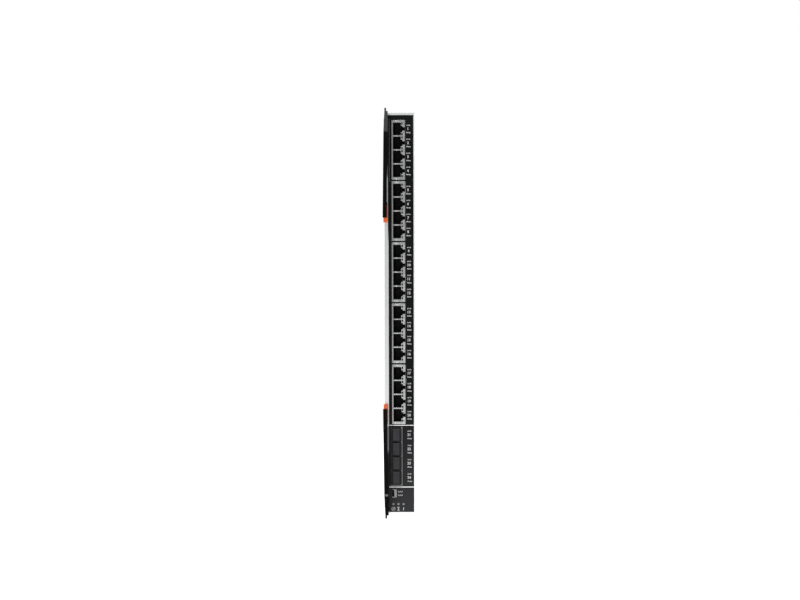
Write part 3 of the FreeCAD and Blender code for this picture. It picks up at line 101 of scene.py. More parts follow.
# %% Floor
bpy.ops.mesh.primitive_plane_add(size=4.4, location=(0, -0.4, cad_box[0][2]))
floor = bpy.context.object
floor.name = "pale_floor"
floor_paint = bpy.data.materials.new("floor_paint")
floor_paint.use_nodes = True
floor_shader = floor_paint.node_tree.nodes["Principled BSDF"]
floor_shader.inputs["Base Color"].default_value = (0.5, 0.5, 0.5, 1)
floor_shader.inputs["Roughness"].default_value = 0.9
floor_shader.inputs["Specular IOR Level"].default_value = 0.1
floor_shader.inputs["Emission Color"].default_value = (1, 1, 1, 1)
floor_shader.inputs["Emission Strength"].default_value = 0.9
floor.data.materials.append(floor_paint)

# %% World
scene = bpy.context.scene
scene.view_settings.view_transform = "Standard"
scene.view_settings.look = "None"
world = bpy.data.worlds.new("white_studio")
scene.world = world
world.use_nodes = True
sky = world.node_tree
sky.nodes.clear()
seen = sky.nodes.new("ShaderNodeBackground")
seen.inputs["Color"].default_value = (1, 1, 1, 1)
seen.inputs["Strength"].default_value = 1.0
mirrored = sky.nodes.new("ShaderNodeBackground")
mirrored.inputs["Color"].default_value = (0.97, 0.985, 1, 1)
mirrored.inputs["Strength"].default_value = 0.5
choice = sky.nodes.new("ShaderNodeMixShader")
rays = sky.nodes.new("ShaderNodeLightPath")
out = sky.nodes.new("ShaderNodeOutputWorld")
sky.links.new(rays.outputs["Is Camera Ray"], choice.inputs["Fac"])
sky.links.new(mirrored.outputs["Background"], choice.inputs[1])
sky.links.new(seen.outputs["Background"], choice.inputs[2])
sky.links.new(choice.outputs["Shader"], out.inputs["Surface"])


# %% Lamps
def soft_lamp(name, place, aim, size, power):
    """A square area lamp at a place, turned towards a point."""
    bpy.ops.object.light_add(type="AREA", location=place)
    lamp = bpy.context.object
    lamp.name = name
    lamp.data.size = size
    lamp.data.energy = power
    direction = Vector([goal - start for goal, start in zip(aim, place)])
    lamp.rotation_euler = direction.to_track_quat("-Z", "Y").to_euler()


MIDDLE = (0, 0, 0.2)
for name, place, size, power in (("key_lamp", (-0.8, -1.6, 1.6), 0.9, 22),
                                 ("fill_lamp", (1.3, -1.3, 0.3), 1.0, 7),
                                 ("left_lamp", (-1.5, 0.1, 0.25), 1.0, 3),
                                 ("right_lamp", (1.5, 0.1, 0.25), 1.0, 1.5),
                                 ("top_lamp", (0, 0.1, 2.0), 1.8, 16),
                                 ("rear_lamp", (0.3, 2.2, 1.2), 1.4, 9)):
    soft_lamp(name, place, MIDDLE, size, power)

# %% [markdown]
# ## Shared effects
# Real finishes are never one flat colour. Four effects come back on many parts: a
# colour that drifts a little, a fine grain, edges that have been rubbed, and dust on
# what faces up. Each is a node group, built once and placed with its own values. All
# of them read Object coordinates in metres, so their scale is true on every piece.


# %% Node helpers
def new_group(name, inputs, outputs):
    """An empty node group with its named sockets, and its input and output nodes."""
    group = bpy.data.node_groups.new(name, "ShaderNodeTree")
    for label, kind, start in inputs:
        socket = group.interface.new_socket(name=label, in_out="INPUT", socket_type=kind)
        socket.default_value = start
    for label, kind in outputs:
        group.interface.new_socket(name=label, in_out="OUTPUT", socket_type=kind)
    return group, group.nodes.new("NodeGroupInput"), group.nodes.new("NodeGroupOutput")


def add_node(tree, kind, feeds=None, **settings):
    """A node whose inputs are fed by sockets or set to values."""
    node = tree.nodes.new(kind)
    for name, setting in settings.items():
        setattr(node, name, setting)
    for key, feed in (feeds or {}).items():
        if isinstance(feed, bpy.types.NodeSocket):
            tree.links.new(feed, node.inputs[key])
        else:
            node.inputs[key].default_value = feed
    return node


# The Mix node keeps sockets for every data type, so those for colour go by number.
MIX_SHARE, MIX_FIRST, MIX_SECOND, MIX_RESULT = 0, 6, 7, 2


def blend_colours(tree, share, first, second):
    """The first colour where the share is 0 and the second where it is 1."""
    mix = add_node(tree, "ShaderNodeMix", data_type="RGBA",
                   feeds={MIX_SHARE: share, MIX_FIRST: first, MIX_SECOND: second})
    return mix.outputs[MIX_RESULT]


FLOAT, COLOUR, VECTOR = "NodeSocketFloat", "NodeSocketColor", "NodeSocketVector"

# %% Effect: a colour that drifts
drift, given, result = new_group(
    "drifting_colour",
    [("Colour", COLOUR, (0.5, 0.5, 0.5, 1)), ("Other Colour", COLOUR, (0.4, 0.4, 0.4, 1)),
     ("Scale", FLOAT, 60.0)],
    [("Colour", COLOUR)])
place = add_node(drift, "ShaderNodeTexCoord")
cloud = add_node(drift, "ShaderNodeTexNoise", {"Vector": place.outputs["Object"],
                                              "Scale": given.outputs["Scale"],
                                              "Detail": 4.0, "Roughness": 0.6})
spread = add_node(drift, "ShaderNodeMapRange", {"Value": cloud.outputs["Fac"],
                                               "From Min": 0.35, "From Max": 0.65})
mixed = blend_colours(drift, spread.outputs["Result"], given.outputs["Colour"],
                      given.outputs["Other Colour"])
drift.links.new(mixed, result.inputs["Colour"])

# %% Effect: grain, which a stretch turns into brush lines
grain, given, result = new_group(
    "stretched_grain",
    [("Stretch", VECTOR, (1.0, 1.0, 1.0)), ("Scale", FLOAT, 2500.0),
     ("Roughness", FLOAT, 0.5), ("Spread", FLOAT, 0.1)],
    [("Height", FLOAT), ("Roughness", FLOAT)])
place = add_node(grain, "ShaderNodeTexCoord")
lines = add_node(grain, "ShaderNodeVectorMath", {0: place.outputs["Object"],
                                                1: given.outputs["Stretch"]},
                 operation="MULTIPLY")
speck = add_node(grain, "ShaderNodeTexNoise", {"Vector": lines.outputs["Vector"],
                                              "Scale": given.outputs["Scale"],
                                              "Detail": 3.0, "Roughness": 0.65})
centred = add_node(grain, "ShaderNodeMath", {0: speck.outputs["Fac"], 1: 0.5},
                   operation="SUBTRACT")
scaled = add_node(grain, "ShaderNodeMath", {0: centred.outputs[0], 1: given.outputs["Spread"],
                                           2: given.outputs["Roughness"]},
                  operation="MULTIPLY_ADD")
grain.links.new(speck.outputs["Fac"], result.inputs["Height"])
grain.links.new(scaled.outputs[0], result.inputs["Roughness"])

# %% Effect: rubbed edges
# The Bevel node gives the normal that a small rounding would have. Where it differs
# from the true normal there is an edge, and a noise breaks that line up.
wear, given, result = new_group(
    "rubbed_edges",
    [("Radius", FLOAT, 0.0003), ("Amount", FLOAT, 0.5), ("Scale", FLOAT, 900.0)],
    [("Mask", FLOAT), ("Normal", VECTOR)])
place = add_node(wear, "ShaderNodeTexCoord")
round_off = add_node(wear, "ShaderNodeBevel", {"Radius": given.outputs["Radius"]}, samples=6)
true_face = add_node(wear, "ShaderNodeNewGeometry")
match = add_node(wear, "ShaderNodeVectorMath", {0: round_off.outputs["Normal"],
                                               1: true_face.outputs["True Normal"]},
                 operation="DOT_PRODUCT")
edge = add_node(wear, "ShaderNodeMapRange", {"Value": match.outputs["Value"],
                                            "From Min": 0.99, "From Max": 0.8})
breakup = add_node(wear, "ShaderNodeTexNoise", {"Vector": place.outputs["Object"],
                                               "Scale": given.outputs["Scale"], "Detail": 3.0})
patchy = add_node(wear, "ShaderNodeMapRange", {"Value": breakup.outputs["Fac"],
                                              "From Min": 0.4, "From Max": 0.6})
worn = add_node(wear, "ShaderNodeMath", {0: edge.outputs["Result"],
                                        1: patchy.outputs["Result"]},
                operation="MULTIPLY")
worn = add_node(wear, "ShaderNodeMath", {0: worn.outputs[0], 1: given.outputs["Amount"]},
                operation="MULTIPLY")
wear.links.new(worn.outputs[0], result.inputs["Mask"])
wear.links.new(round_off.outputs["Normal"], result.inputs["Normal"])

# %% Effect: settled dust
dust, given, result = new_group(
    "settled_dust",
    [("Amount", FLOAT, 0.2), ("Scale", FLOAT, 300.0)],
    [("Mask", FLOAT)])
place = add_node(dust, "ShaderNodeTexCoord")
facing = add_node(dust, "ShaderNodeNewGeometry")
upward = add_node(dust, "ShaderNodeSeparateXYZ", {"Vector": facing.outputs["Normal"]})
lying = add_node(dust, "ShaderNodeMapRange", {"Value": upward.outputs["Z"], "From Min": 0.2})
fluff = add_node(dust, "ShaderNodeTexNoise", {"Vector": place.outputs["Object"],
                                             "Scale": given.outputs["Scale"], "Detail": 5.0})
film = add_node(dust, "ShaderNodeMath", {0: lying.outputs["Result"], 1: fluff.outputs["Fac"]},
                operation="MULTIPLY")
film = add_node(dust, "ShaderNodeMath", {0: film.outputs[0], 1: given.outputs["Amount"]},
                operation="MULTIPLY")
dust.links.new(film.outputs[0], result.inputs["Mask"])
print("effects:", [group.name for group in bpy.data.node_groups])


# %% [markdown]
# ## From effects to a finish
# Every finish follows one recipe: two colours that drift into each other, a rubbed
# colour at the edges, dust on top, and a grain that moves both the roughness and a
# small bump. What differs is the numbers, so one function builds the chain and each
# finish below only says what its real surface is like.

# %% Finish
DUST = (0.42, 0.41, 0.39, 1)
COAT_ROUGHNESS = 0.1


def finish(name, colour, other, roughness, metallic=0.0, specular=0.5, drift_scale=60.0,
           stretch=(1, 1, 1), grain_scale=2500.0, spread=0.12, bump=0.05, bump_deep=0.00002,
           edge_colour=None, edge_radius=0.0003, edge_amount=0.5, dust_amount=0.1, coat=0.0):
    """A material made from the shared effects."""
    material = bpy.data.materials.new(name)
    material.use_nodes = True
    tree = material.node_tree
    shader = tree.nodes["Principled BSDF"]
    shader.inputs["Metallic"].default_value = metallic
    shader.inputs["Specular IOR Level"].default_value = specular
    shader.inputs["Coat Weight"].default_value = coat
    shader.inputs["Coat Roughness"].default_value = COAT_ROUGHNESS
    tint = add_node(tree, "ShaderNodeGroup", node_tree=drift)
    tint.inputs["Colour"].default_value = colour + (1,)
    tint.inputs["Other Colour"].default_value = other + (1,)
    tint.inputs["Scale"].default_value = drift_scale
    rubbed = add_node(tree, "ShaderNodeGroup", node_tree=wear)
    rubbed.inputs["Radius"].default_value = edge_radius
    rubbed.inputs["Amount"].default_value = edge_amount
    settled = add_node(tree, "ShaderNodeGroup", node_tree=dust)
    settled.inputs["Amount"].default_value = dust_amount
    lined = add_node(tree, "ShaderNodeGroup", node_tree=grain)
    lined.inputs["Stretch"].default_value = stretch
    lined.inputs["Scale"].default_value = grain_scale
    lined.inputs["Roughness"].default_value = roughness
    lined.inputs["Spread"].default_value = spread
    lighter = edge_colour or tuple(min(1.0, 1.6 * part + 0.02) for part in colour)
    painted = blend_colours(tree, rubbed.outputs["Mask"], tint.outputs["Colour"],
                            lighter + (1,))
    painted = blend_colours(tree, settled.outputs["Mask"], painted, DUST)
    tree.links.new(painted, shader.inputs["Base Color"])
    tree.links.new(lined.outputs["Roughness"], shader.inputs["Roughness"])
    relief = add_node(tree, "ShaderNodeBump", {"Height": lined.outputs["Height"],
                                              "Normal": rubbed.outputs["Normal"],
                                              "Strength": bump, "Distance": bump_deep})
    tree.links.new(relief.outputs["Normal"], shader.inputs["Normal"])
    return material


def dress(material, *names):
    """Give CAD nodes a finish, through their own material slots."""
    for name in names:
        for material_slot in nodes[name].material_slots:
            material_slot.material = material


def along(material, axis, start, end):
    """A mask that goes from 0 to 1 between two places along an axis, in millimetres."""
    tree = material.node_tree
    coordinates = add_node(tree, "ShaderNodeTexCoord")
    parts = add_node(tree, "ShaderNodeSeparateXYZ", {"Vector": coordinates.outputs["Object"]})
    ramp = add_node(tree, "ShaderNodeMapRange", {"Value": parts.outputs[axis],
                                                "From Min": start * MM, "From Max": end * MM})
    return ramp.outputs["Result"]


def either(material, first, second):
    """A mask that is the larger of two."""
    return add_node(material.node_tree, "ShaderNodeMath", {0: first, 1: second},
                    operation="MAXIMUM").outputs[0]


def both(material, first, second):
    """A mask that is the smaller of two."""
    return add_node(material.node_tree, "ShaderNodeMath", {0: first, 1: second},
                    operation="MINIMUM").outputs[0]


def band(material, axis, start, end, soft):
    """A mask that is 1 between two places along an axis, with soft ends inside them."""
    return both(material, along(material, axis, start, start + soft),
                along(material, axis, end, end - soft))


def retint(material, mask, colour):
    """Lay a colour over a finish's own one where a mask is 1."""
    tree = material.node_tree
    socket = tree.nodes["Principled BSDF"].inputs["Base Color"]
    own = socket.links[0].from_socket
    tree.links.new(blend_colours(tree, mask, own, colour + (1,)), socket)


# %% [markdown]
# ## Sheet metal
# The tray and the cover are zinc plated steel, rolled before it was folded. Rolling
# leaves lines too fine to see one by one, which stretch every highlight across them.
# The tray was rolled along its length. The front plate is brighter and finer, because
# its bare edges frame the black overlay. Its flange carries a painted shade from the
# levers, which gets darker in steps towards both ends, and beside the upper jacks the
# dark edge of the overlay's film reaches over it.

# %% Sheet metal finishes
tray_steel = finish("tray_steel", (0.44, 0.45, 0.46), (0.395, 0.405, 0.42), 0.36, 1.0,
                    drift_scale=26, stretch=(1, 1, 0.02), grain_scale=1800, spread=0.16,
                    bump=0.25, edge_colour=(0.8, 0.8, 0.8), dust_amount=0.12)
dress(tray_steel, "base_tray", "cover_panel")
bezel_steel = finish(
    "bezel_steel", (0.94, 0.945, 0.945), (0.9, 0.905, 0.91), 0.30, 1.0, drift_scale=40,
    stretch=(1, 1, 0.03), grain_scale=2200, spread=0.1, bump=0.12, edge_colour=(0.93, 0.93, 0.93))
FREE_TONE, FILM_TONE = (0.76, 0.76, 0.76), (0.03, 0.03, 0.03)
STEP_LONG = 4
left_flange = both(bezel_steel, along(bezel_steel, "X", -9, -10),
                   band(bezel_steel, "Z", 1.4, 398.7, 0.3))
retint(bezel_steel, left_flange, FREE_TONE)
# Painted shade of the levers on the flange, darker in steps towards both ends.
for low_end, high_end, tone in ((106, 306, 0.6), (90, 335, 0.17), (64, 347, 0.03)):
    painted_lever_shade = either(bezel_steel, along(bezel_steel, "Z", low_end, low_end - STEP_LONG),
                           along(bezel_steel, "Z", high_end, high_end + STEP_LONG))
    retint(bezel_steel, both(bezel_steel, painted_lever_shade, left_flange), (tone, tone, tone))
film_edge = both(bezel_steel, along(bezel_steel, "X", -11.75, -11.55),
                 along(bezel_steel, "Z", 268, 285))
retint(bezel_steel, both(bezel_steel, film_edge, left_flange), FILM_TONE)
dress(bezel_steel, "front_plate")
bracket_steel = finish("bracket_steel", (0.55, 0.56, 0.57), (0.5, 0.51, 0.52), 0.4, 1.0,
                       bump=0.15)
dress(bracket_steel, "lower_lever_bracket", "upper_lever_bracket")

# %% [markdown]
# ## The printed overlay
# A black polyester film with a fine matt texture covers most of the front. Its colour
# is nearly even, and what shows is the sheen of its texture, so the grain does the
# work here and the specular level stays low. Towards its foot its colour is painted
# lighter, as painted light.

# %% Overlay finish
overlay = finish(
    "overlay", (0.0048, 0.0049, 0.0053), (0.0068, 0.007, 0.0075), 0.5, 0.0, specular=0.03,
    drift_scale=35, grain_scale=4200, spread=0.2, bump=0.35, edge_colour=(0.025, 0.025, 0.027),
    edge_radius=0.00015, dust_amount=0.05)
# Painted light: the film's colour gets lighter towards its foot.
retint(overlay, along(overlay, "Z", 110, 5), (0.031, 0.031, 0.0325))
dress(overlay, "face_label")

# %% [markdown]
# ## Levers and latches
# The levers are moulded in black nylon filled with glass, with a spark-eroded grain,
# and hands have polished their edges a little. The latches are a bright orange acetal,
# smoother and a bit waxy, so they have a softer grain and a thin coat. The upper
# lever's hub has a painted highlight where it faces the light, the lower lever has a
# small painted highlight on its crease, and the part of a latch that is sunk in its
# lever has a painted shade.

# %% Lever and latch finishes
lever_plastic = finish(
    "lever_plastic", (0.0025, 0.0025, 0.0028), (0.004, 0.004, 0.0045), 0.42, specular=0.025,
    drift_scale=45, grain_scale=3000, spread=0.25, bump=0.5, bump_deep=0.00003,
    edge_colour=(0.012, 0.012, 0.013), edge_radius=0.0004, edge_amount=0.6)
# Painted highlight on the upper lever's hub, where it faces the light.
painted_hub_highlight = along(lever_plastic, "Z", 381, 382.5)
retint(lever_plastic, painted_hub_highlight, (0.042, 0.042, 0.043))
# Painted highlight on the crease of the lower lever.
painted_crease_highlight = both(lever_plastic, band(lever_plastic, "Z", 17.9, 20.2, 0.3),
                    both(lever_plastic, along(lever_plastic, "X", -15.3, -14.9),
                         along(lever_plastic, "X", -12.0, -12.3)))
retint(lever_plastic, painted_crease_highlight, (0.13, 0.13, 0.125))
dress(lever_plastic, "lower_lever", "upper_lever")
latch_plastic = finish("latch_plastic", (0.62, 0.12, 0.032), (0.5, 0.09, 0.024), 0.4,
                       specular=0.2, drift_scale=120, grain_scale=2600, spread=0.15,
                       bump=0.2, edge_colour=(0.72, 0.25, 0.12), coat=0.05)
# Painted shade on the part of each latch that is sunk in its lever.
painted_sunk_shade = either(latch_plastic, along(latch_plastic, "Z", 106, 105.4),
              along(latch_plastic, "Z", 295, 295.6))
retint(latch_plastic, painted_sunk_shade, (0.32, 0.055, 0.017))
dress(latch_plastic, "lower_latch", "upper_latch")
spring_steel = finish("spring_steel", (0.55, 0.55, 0.55), (0.48, 0.48, 0.49), 0.3, 1.0,
                      stretch=(0.05, 1, 1))
dress(spring_steel, "lower_latch_spring", "upper_latch_spring")
pin_steel = finish("pin_steel", (0.11, 0.11, 0.115), (0.08, 0.08, 0.085), 0.38, 1.0,
                   edge_colour=(0.45, 0.45, 0.45), edge_amount=0.7)
dress(pin_steel, "lower_pivot_pin", "upper_pivot_pin")

# %% [markdown]
# ## Jacks
# Each block of four jacks sits in a box folded from thin tin plated sheet. Tin is
# bright but soft, so it is full of hairlines. Along the board side the plate is darker,
# and the fold on the other side has a painted shade. Inside is black thermoplastic with
# gold flashed contacts, whose gold is painted dark as shade, and beside each port are
# two small lenses, dark while nothing is plugged in.

# %% Jack finishes
jack_plating = finish(
    "jack_plating", (0.64, 0.64, 0.635), (0.4, 0.4, 0.4), 0.27, 1.0, drift_scale=330,
    stretch=(1, 1, 0.2), grain_scale=1500, spread=0.3, bump=0.35,
    edge_colour=(0.88, 0.88, 0.87), edge_radius=0.00025, edge_amount=0.8)
# The plate is darker along the board side, and the fold on the other side has a painted shade.
board_side, shaded_fold = along(jack_plating, "X", -5.9, -6.3), along(jack_plating, "X", 5.1, 5.5)
retint(jack_plating, board_side, (0.36, 0.36, 0.36))
retint(jack_plating, shaded_fold, (0.07, 0.07, 0.07))
dress(jack_plating, *["jack_shield_%d" % i for i in JACKS])
jack_plastic = finish("jack_plastic", (0.0045, 0.0045, 0.0045), (0.007, 0.007, 0.007), 0.5,
                      specular=0.16, grain_scale=2500, bump=0.3, dust_amount=0.02)
dress(jack_plastic, *["jack_body_%d" % i for i in JACKS])
# The contacts' gold is painted dark, as painted shade deep inside the ports.
contact_gold = finish("contact_gold", (0.12, 0.085, 0.032), (0.085, 0.06, 0.02), 0.35, 1.0,
                      drift_scale=500, dust_amount=0.0)
dress(contact_gold, *["jack_contacts_%d" % i for i in JACKS])
lamp_plastic = finish("lamp_plastic", (0.009, 0.0085, 0.008), (0.007, 0.0065, 0.006), 0.3,
                      specular=0.1, drift_scale=900, bump=0.05)
dress(lamp_plastic, *["jack_lamps_%d" % i for i in JACKS])

# %% [markdown]
# ## Cage, plugs and receptacle
# The transceiver cage has a blackened rim that is lighter along its far side and its
# foot. The rubber plugs in its bays are a dark grey with a dry, dusty skin. The
# serial receptacle is a small nickel plated shell with a bright tongue. Its inside and
# the lower part of its board side have a painted shade.

# %% Cage, plug and receptacle finishes
cage_steel = finish(
    "cage_steel", (0.027, 0.027, 0.028), (0.018, 0.018, 0.019), 0.42, 0.85, drift_scale=90,
    grain_scale=2000, bump=0.2, edge_colour=(0.15, 0.15, 0.155), edge_radius=0.0002)
# The rim's colour is lighter along its far side and its foot.
far_rim = band(cage_steel, "X", 0.95, 2.25, 0.2)
rubbed = either(cage_steel, far_rim, along(cage_steel, "Z", 28.8, 28.6))
retint(cage_steel, rubbed, (0.27, 0.27, 0.275))
dress(cage_steel, "sfp_cage")
plug_rubber = finish("plug_rubber", (0.034, 0.034, 0.036), (0.026, 0.026, 0.028), 0.62,
                     specular=0.06, drift_scale=110, stretch=(1, 1, 0.08),
                     grain_scale=1400, spread=0.2, bump=0.6, bump_deep=0.00004,
                     edge_colour=(0.075, 0.075, 0.08), edge_radius=0.0006,
                     dust_amount=0.2)
dress(plug_rubber, *["dust_plug_%d" % i for i in range(1, 5)])
serial_plating = finish(
    "serial_plating", (0.4, 0.4, 0.4), (0.3, 0.3, 0.3), 0.3, 1.0, drift_scale=400,
    edge_colour=(0.5, 0.5, 0.5))
# Painted shade inside the shell and on the lower part of its board side.
board_corner = both(serial_plating, along(serial_plating, "X", -7.2, -7.5),
                    along(serial_plating, "Z", 16.9, 17.2))
shaded = either(serial_plating, along(serial_plating, "Y", -159.15, -159.05), board_corner)
retint(serial_plating, shaded, (0.012, 0.012, 0.012))
dress(serial_plating, "usb_shell")
tongue_plating = finish("tongue_plating", (0.32, 0.32, 0.32), (0.22, 0.22, 0.22), 0.34, 1.0,
                        drift_scale=500, stretch=(1, 1, 0.1))
dress(tongue_plating, "usb_tongue")
light_pipe = finish("light_pipe", (0.20, 0.20, 0.205), (0.16, 0.16, 0.165), 0.25,
                    specular=0.5, coat=0.4, bump=0.05)
dress(light_pipe, "status_light_pipes")

# %% [markdown]
# ## Screws, board and rear parts
# What the vents, the rear and an open cover show still needs its own finish: zinc
# screws, the green laminate with its solder mask, epoxy chips, plain extruded heat
# sinks, glass filled connectors and die cast guide sockets.

# %% Inner finishes
screw_steel = finish("screw_steel", (0.5, 0.51, 0.52), (0.42, 0.43, 0.44), 0.32, 1.0,
                     drift_scale=500, edge_colour=(0.85, 0.85, 0.85))
dress(screw_steel, "cover_screws", "board_screws")
standoff_steel = finish("standoff_steel", (0.56, 0.57, 0.58), (0.5, 0.5, 0.52), 0.34, 1.0,
                        stretch=(0.05, 1, 1))
dress(standoff_steel, "board_standoffs")
gasket_foam = finish("gasket_foam", (0.11, 0.11, 0.115), (0.08, 0.08, 0.085), 0.6, 0.4,
                     grain_scale=1600, bump=0.8, bump_deep=0.0001)
dress(gasket_foam, "emi_gasket")
laminate = finish("board_laminate", (0.012, 0.075, 0.03), (0.018, 0.1, 0.042), 0.35,
                  drift_scale=240, grain_scale=900, bump=0.4, coat=0.3,
                  edge_colour=(0.2, 0.22, 0.1))
dress(laminate, "main_board", "memory_module")
chip_epoxy = finish("chip_epoxy", (0.017, 0.017, 0.018), (0.023, 0.023, 0.024), 0.55,
                    grain_scale=3500, bump=0.4)
dress(chip_epoxy, "switch_chip", "processor_chip", "phy_chips")
sink_aluminium = finish("sink_aluminium", (0.66, 0.67, 0.68), (0.6, 0.61, 0.62), 0.35, 1.0,
                        stretch=(1, 1, 0.03), bump=0.3)
dress(sink_aluminium, "switch_heat_sink", "processor_heat_sink")
converter_case = finish("converter_case", (0.02, 0.02, 0.022), (0.028, 0.028, 0.03), 0.45,
                        0.6, stretch=(1, 0.05, 1))
dress(converter_case, "power_converter")
inductor_core = finish("inductor_core", (0.1, 0.1, 0.105), (0.13, 0.13, 0.135), 0.7,
                       grain_scale=1200, bump=0.7, bump_deep=0.00008)
dress(inductor_core, "power_inductors")
connector_plastic = finish("connector_plastic", (0.018, 0.018, 0.019), (0.026, 0.026, 0.027),
                           0.48, specular=0.4, grain_scale=1800, bump=0.4,
                           edge_colour=(0.06, 0.06, 0.062))
dress(connector_plastic, "sfp_connectors", "midplane_connectors", "power_connector",
      "memory_socket")
guide_zinc = finish("guide_zinc", (0.42, 0.42, 0.43), (0.36, 0.36, 0.37), 0.45, 1.0,
                    grain_scale=1300, bump=0.7, bump_deep=0.00005)
dress(guide_zinc, "guide_sockets")
print("finishes:", len(bpy.data.materials) - 1)


# %% [markdown]
# ## Working by hand with operators
# From here on, pieces are modelled with the same operators as in the window. An
# operator works on all that is selected, so each step starts with nothing selected.
# A finished piece has its place in its mesh and its object at the origin.

# %% Modelling helpers
def start_clean():
    """Leave edit mode and select nothing."""
    if bpy.context.object and bpy.context.object.mode != "OBJECT":
        bpy.ops.object.mode_set(mode="OBJECT")
    bpy.ops.object.select_all(action="DESELECT")


def take(*objects):
    """Select objects, with the first one active."""
    start_clean()
    for thing in objects:
        thing.select_set(True)
    bpy.context.view_layer.objects.active = objects[0]


def settle(piece):
    """Put a piece's place, turn and size into its mesh."""
    take(piece)
    bpy.ops.object.transform_apply(location=True, rotation=True, scale=True)
    return piece


def soft_block(name, centre, size, round_by, steps=2):
    """A block with rounded edges, in millimetres."""
    start_clean()
    bpy.ops.mesh.primitive_cube_add(size=1, location=[part * MM for part in centre])
    block = bpy.context.object
    block.name = name
    block.scale = [part * MM for part in size]
    settle(block)
    bpy.ops.object.mode_set(mode="EDIT")
    bpy.ops.mesh.select_all(action="SELECT")
    bpy.ops.mesh.bevel(offset=round_by * MM, segments=steps, affect="EDGES")
    bpy.ops.object.mode_set(mode="OBJECT")
    return block


def copy_to(piece, x=0.0, y=0.0, z=0.0, name=None):
    """A copy with its own mesh, moved by millimetres."""
    twin = piece.copy()
    twin.data = piece.data.copy()
    twin.name = name or piece.name
    bpy.context.collection.objects.link(twin)
    twin.location = (x * MM, y * MM, z * MM)
    return settle(twin)


def weld(name, pieces):
    """Join pieces into one, at the origin."""
    take(*pieces)
    bpy.ops.object.join()
    whole = bpy.context.object
    whole.name = name
    whole.data.name = name
    return settle(whole)


FACING = 0.9


def edit_faces(piece, wanted):
    """Enter edit mode with only the wanted faces of a piece selected."""
    take(piece)
    bpy.ops.object.mode_set(mode="EDIT")
    bpy.ops.mesh.select_mode(type="FACE")
    bpy.ops.mesh.select_all(action="DESELECT")
    bpy.ops.object.mode_set(mode="OBJECT")
    for face in piece.data.polygons:
        face.select = wanted(face)
    bpy.ops.object.mode_set(mode="EDIT")


def wear_finish(piece, material, body="chassis", smooth=30):
    """Give a new piece its material, its shading and the body that carries it."""
    piece.data.materials.clear()
    piece.data.materials.append(material)
    take(piece)
    if smooth:
        bpy.ops.object.shade_smooth_by_angle(angle=math.radians(smooth))
    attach(piece, body)


# %% [markdown]
# ## The print on the overlay
# Screen print is a layer of ink with a real edge, so each mark is a thin solid that
# stands a few hundredths of a millimetre proud. Every port has its number between two
# small marks for its lamps. Numbers start as text objects, which are made a mesh
# before they are placed. They run down from the top jack and on beside the cage.

# %% Ink
LABEL = [[part * 1000 for part in corner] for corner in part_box("face_label")]
INK_BACK = LABEL[0][1] + 0.02
INK_THICK = 0.06
INK_MIDDLE = INK_BACK - INK_THICK / 2
STROKE_GROWTH = 0.15
ink = finish("print_ink", (0.5, 0.5, 0.49), (0.36, 0.36, 0.35), 0.5, specular=0.2,
             drift_scale=900, grain_scale=3500, bump=0.3, edge_amount=0.1,
             dust_amount=0.0)
white_ink = finish("separator_ink", (0.86, 0.86, 0.85), (0.8, 0.8, 0.79), 0.5,
                   specular=0.3, drift_scale=300, bump=0.2, edge_amount=0.1,
                   dust_amount=0.0)


def ink_bar(x, z, wide, tall, tilt=0.0):
    """A bar of ink on the overlay, turned in its plane by some degrees."""
    start_clean()
    bpy.ops.mesh.primitive_cube_add(size=1, location=(x * MM, INK_MIDDLE * MM, z * MM),
                                    rotation=(0, math.radians(tilt), 0))
    bar = bpy.context.object
    bar.scale = (wide * MM, INK_THICK * MM, tall * MM)
    return settle(bar)


def ink_number(text, x, z, size=3.5):
    """A number in ink, centred at a place of the overlay."""
    start_clean()
    bpy.ops.object.text_add(location=(0, 0, 0))
    written = bpy.context.object.data
    written.body = text
    written.size = size * MM
    written.align_x = "CENTER"
    written.align_y = "CENTER"
    written.extrude = INK_THICK / 2 * MM
    written.offset = STROKE_GROWTH * MM
    written.resolution_u = 3
    bpy.ops.object.convert(target="MESH")
    number = bpy.context.object
    number.rotation_euler = (math.radians(90), 0, 0)
    number.location = (x * MM, INK_MIDDLE * MM, z * MM)
    return settle(number)


# Place, width, height and tilt of each stroke of a port's two marks, round z = 0.
LAMP_BARS = [(-1.35, 3.6, 0.7, 1.2, 0), (-0.3, 3.6, 0.6, 1.0, 8),
             (0.7, 3.75, 0.6, 0.9, 0), (1.55, 3.6, 0.6, 1.2, -8)]
LAMP_TICKS = [(-1.5, -3.6, 0.7, 1.3, 25), (-0.6, -3.8, 0.6, 1.2, -25),
              (0.4, -3.7, 0.6, 1.2, 25), (1.2, -3.9, 0.6, 1.1, -25), (2.0, -3.9, 0.7, 0.8, 0)]


# %% Numbers and marks in their column
jack_boxes = [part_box("jack_shield_%d" % i) for i in JACKS]
PORT_PITCH, PORTS_PER_BLOCK = 13.97, 4
# The column steps aside by half a millimetre below the eighth port.
UPPER_COLUMN, LOWER_COLUMN, LAST_UPPER = 8.8, 9.3, 8
NUMBER_ASIDE = 0.3
port_heights = []
for low, high in reversed(jack_boxes):
    middle = (low.z + high.z) / 2 / MM
    port_heights += [middle + (1.5 - row) * PORT_PITCH for row in range(PORTS_PER_BLOCK)]
plug_boxes = [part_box("dust_plug_%d" % i) for i in (4, 3, 2, 1)]
port_heights += [(low.z + high.z) / 2 / MM for low, high in plug_boxes]
marks = weld("port_marks", [ink_bar(*stroke) for stroke in LAMP_BARS + LAMP_TICKS])
printed = []
for count, height in enumerate(port_heights, 1):
    column = LOWER_COLUMN if count > LAST_UPPER else UPPER_COLUMN
    printed.append(copy_to(marks, x=column, z=height))
    printed.append(ink_number(str(count), column - NUMBER_ASIDE, height))
bpy.data.objects.remove(marks)
print("printed numbers:", len(port_heights))

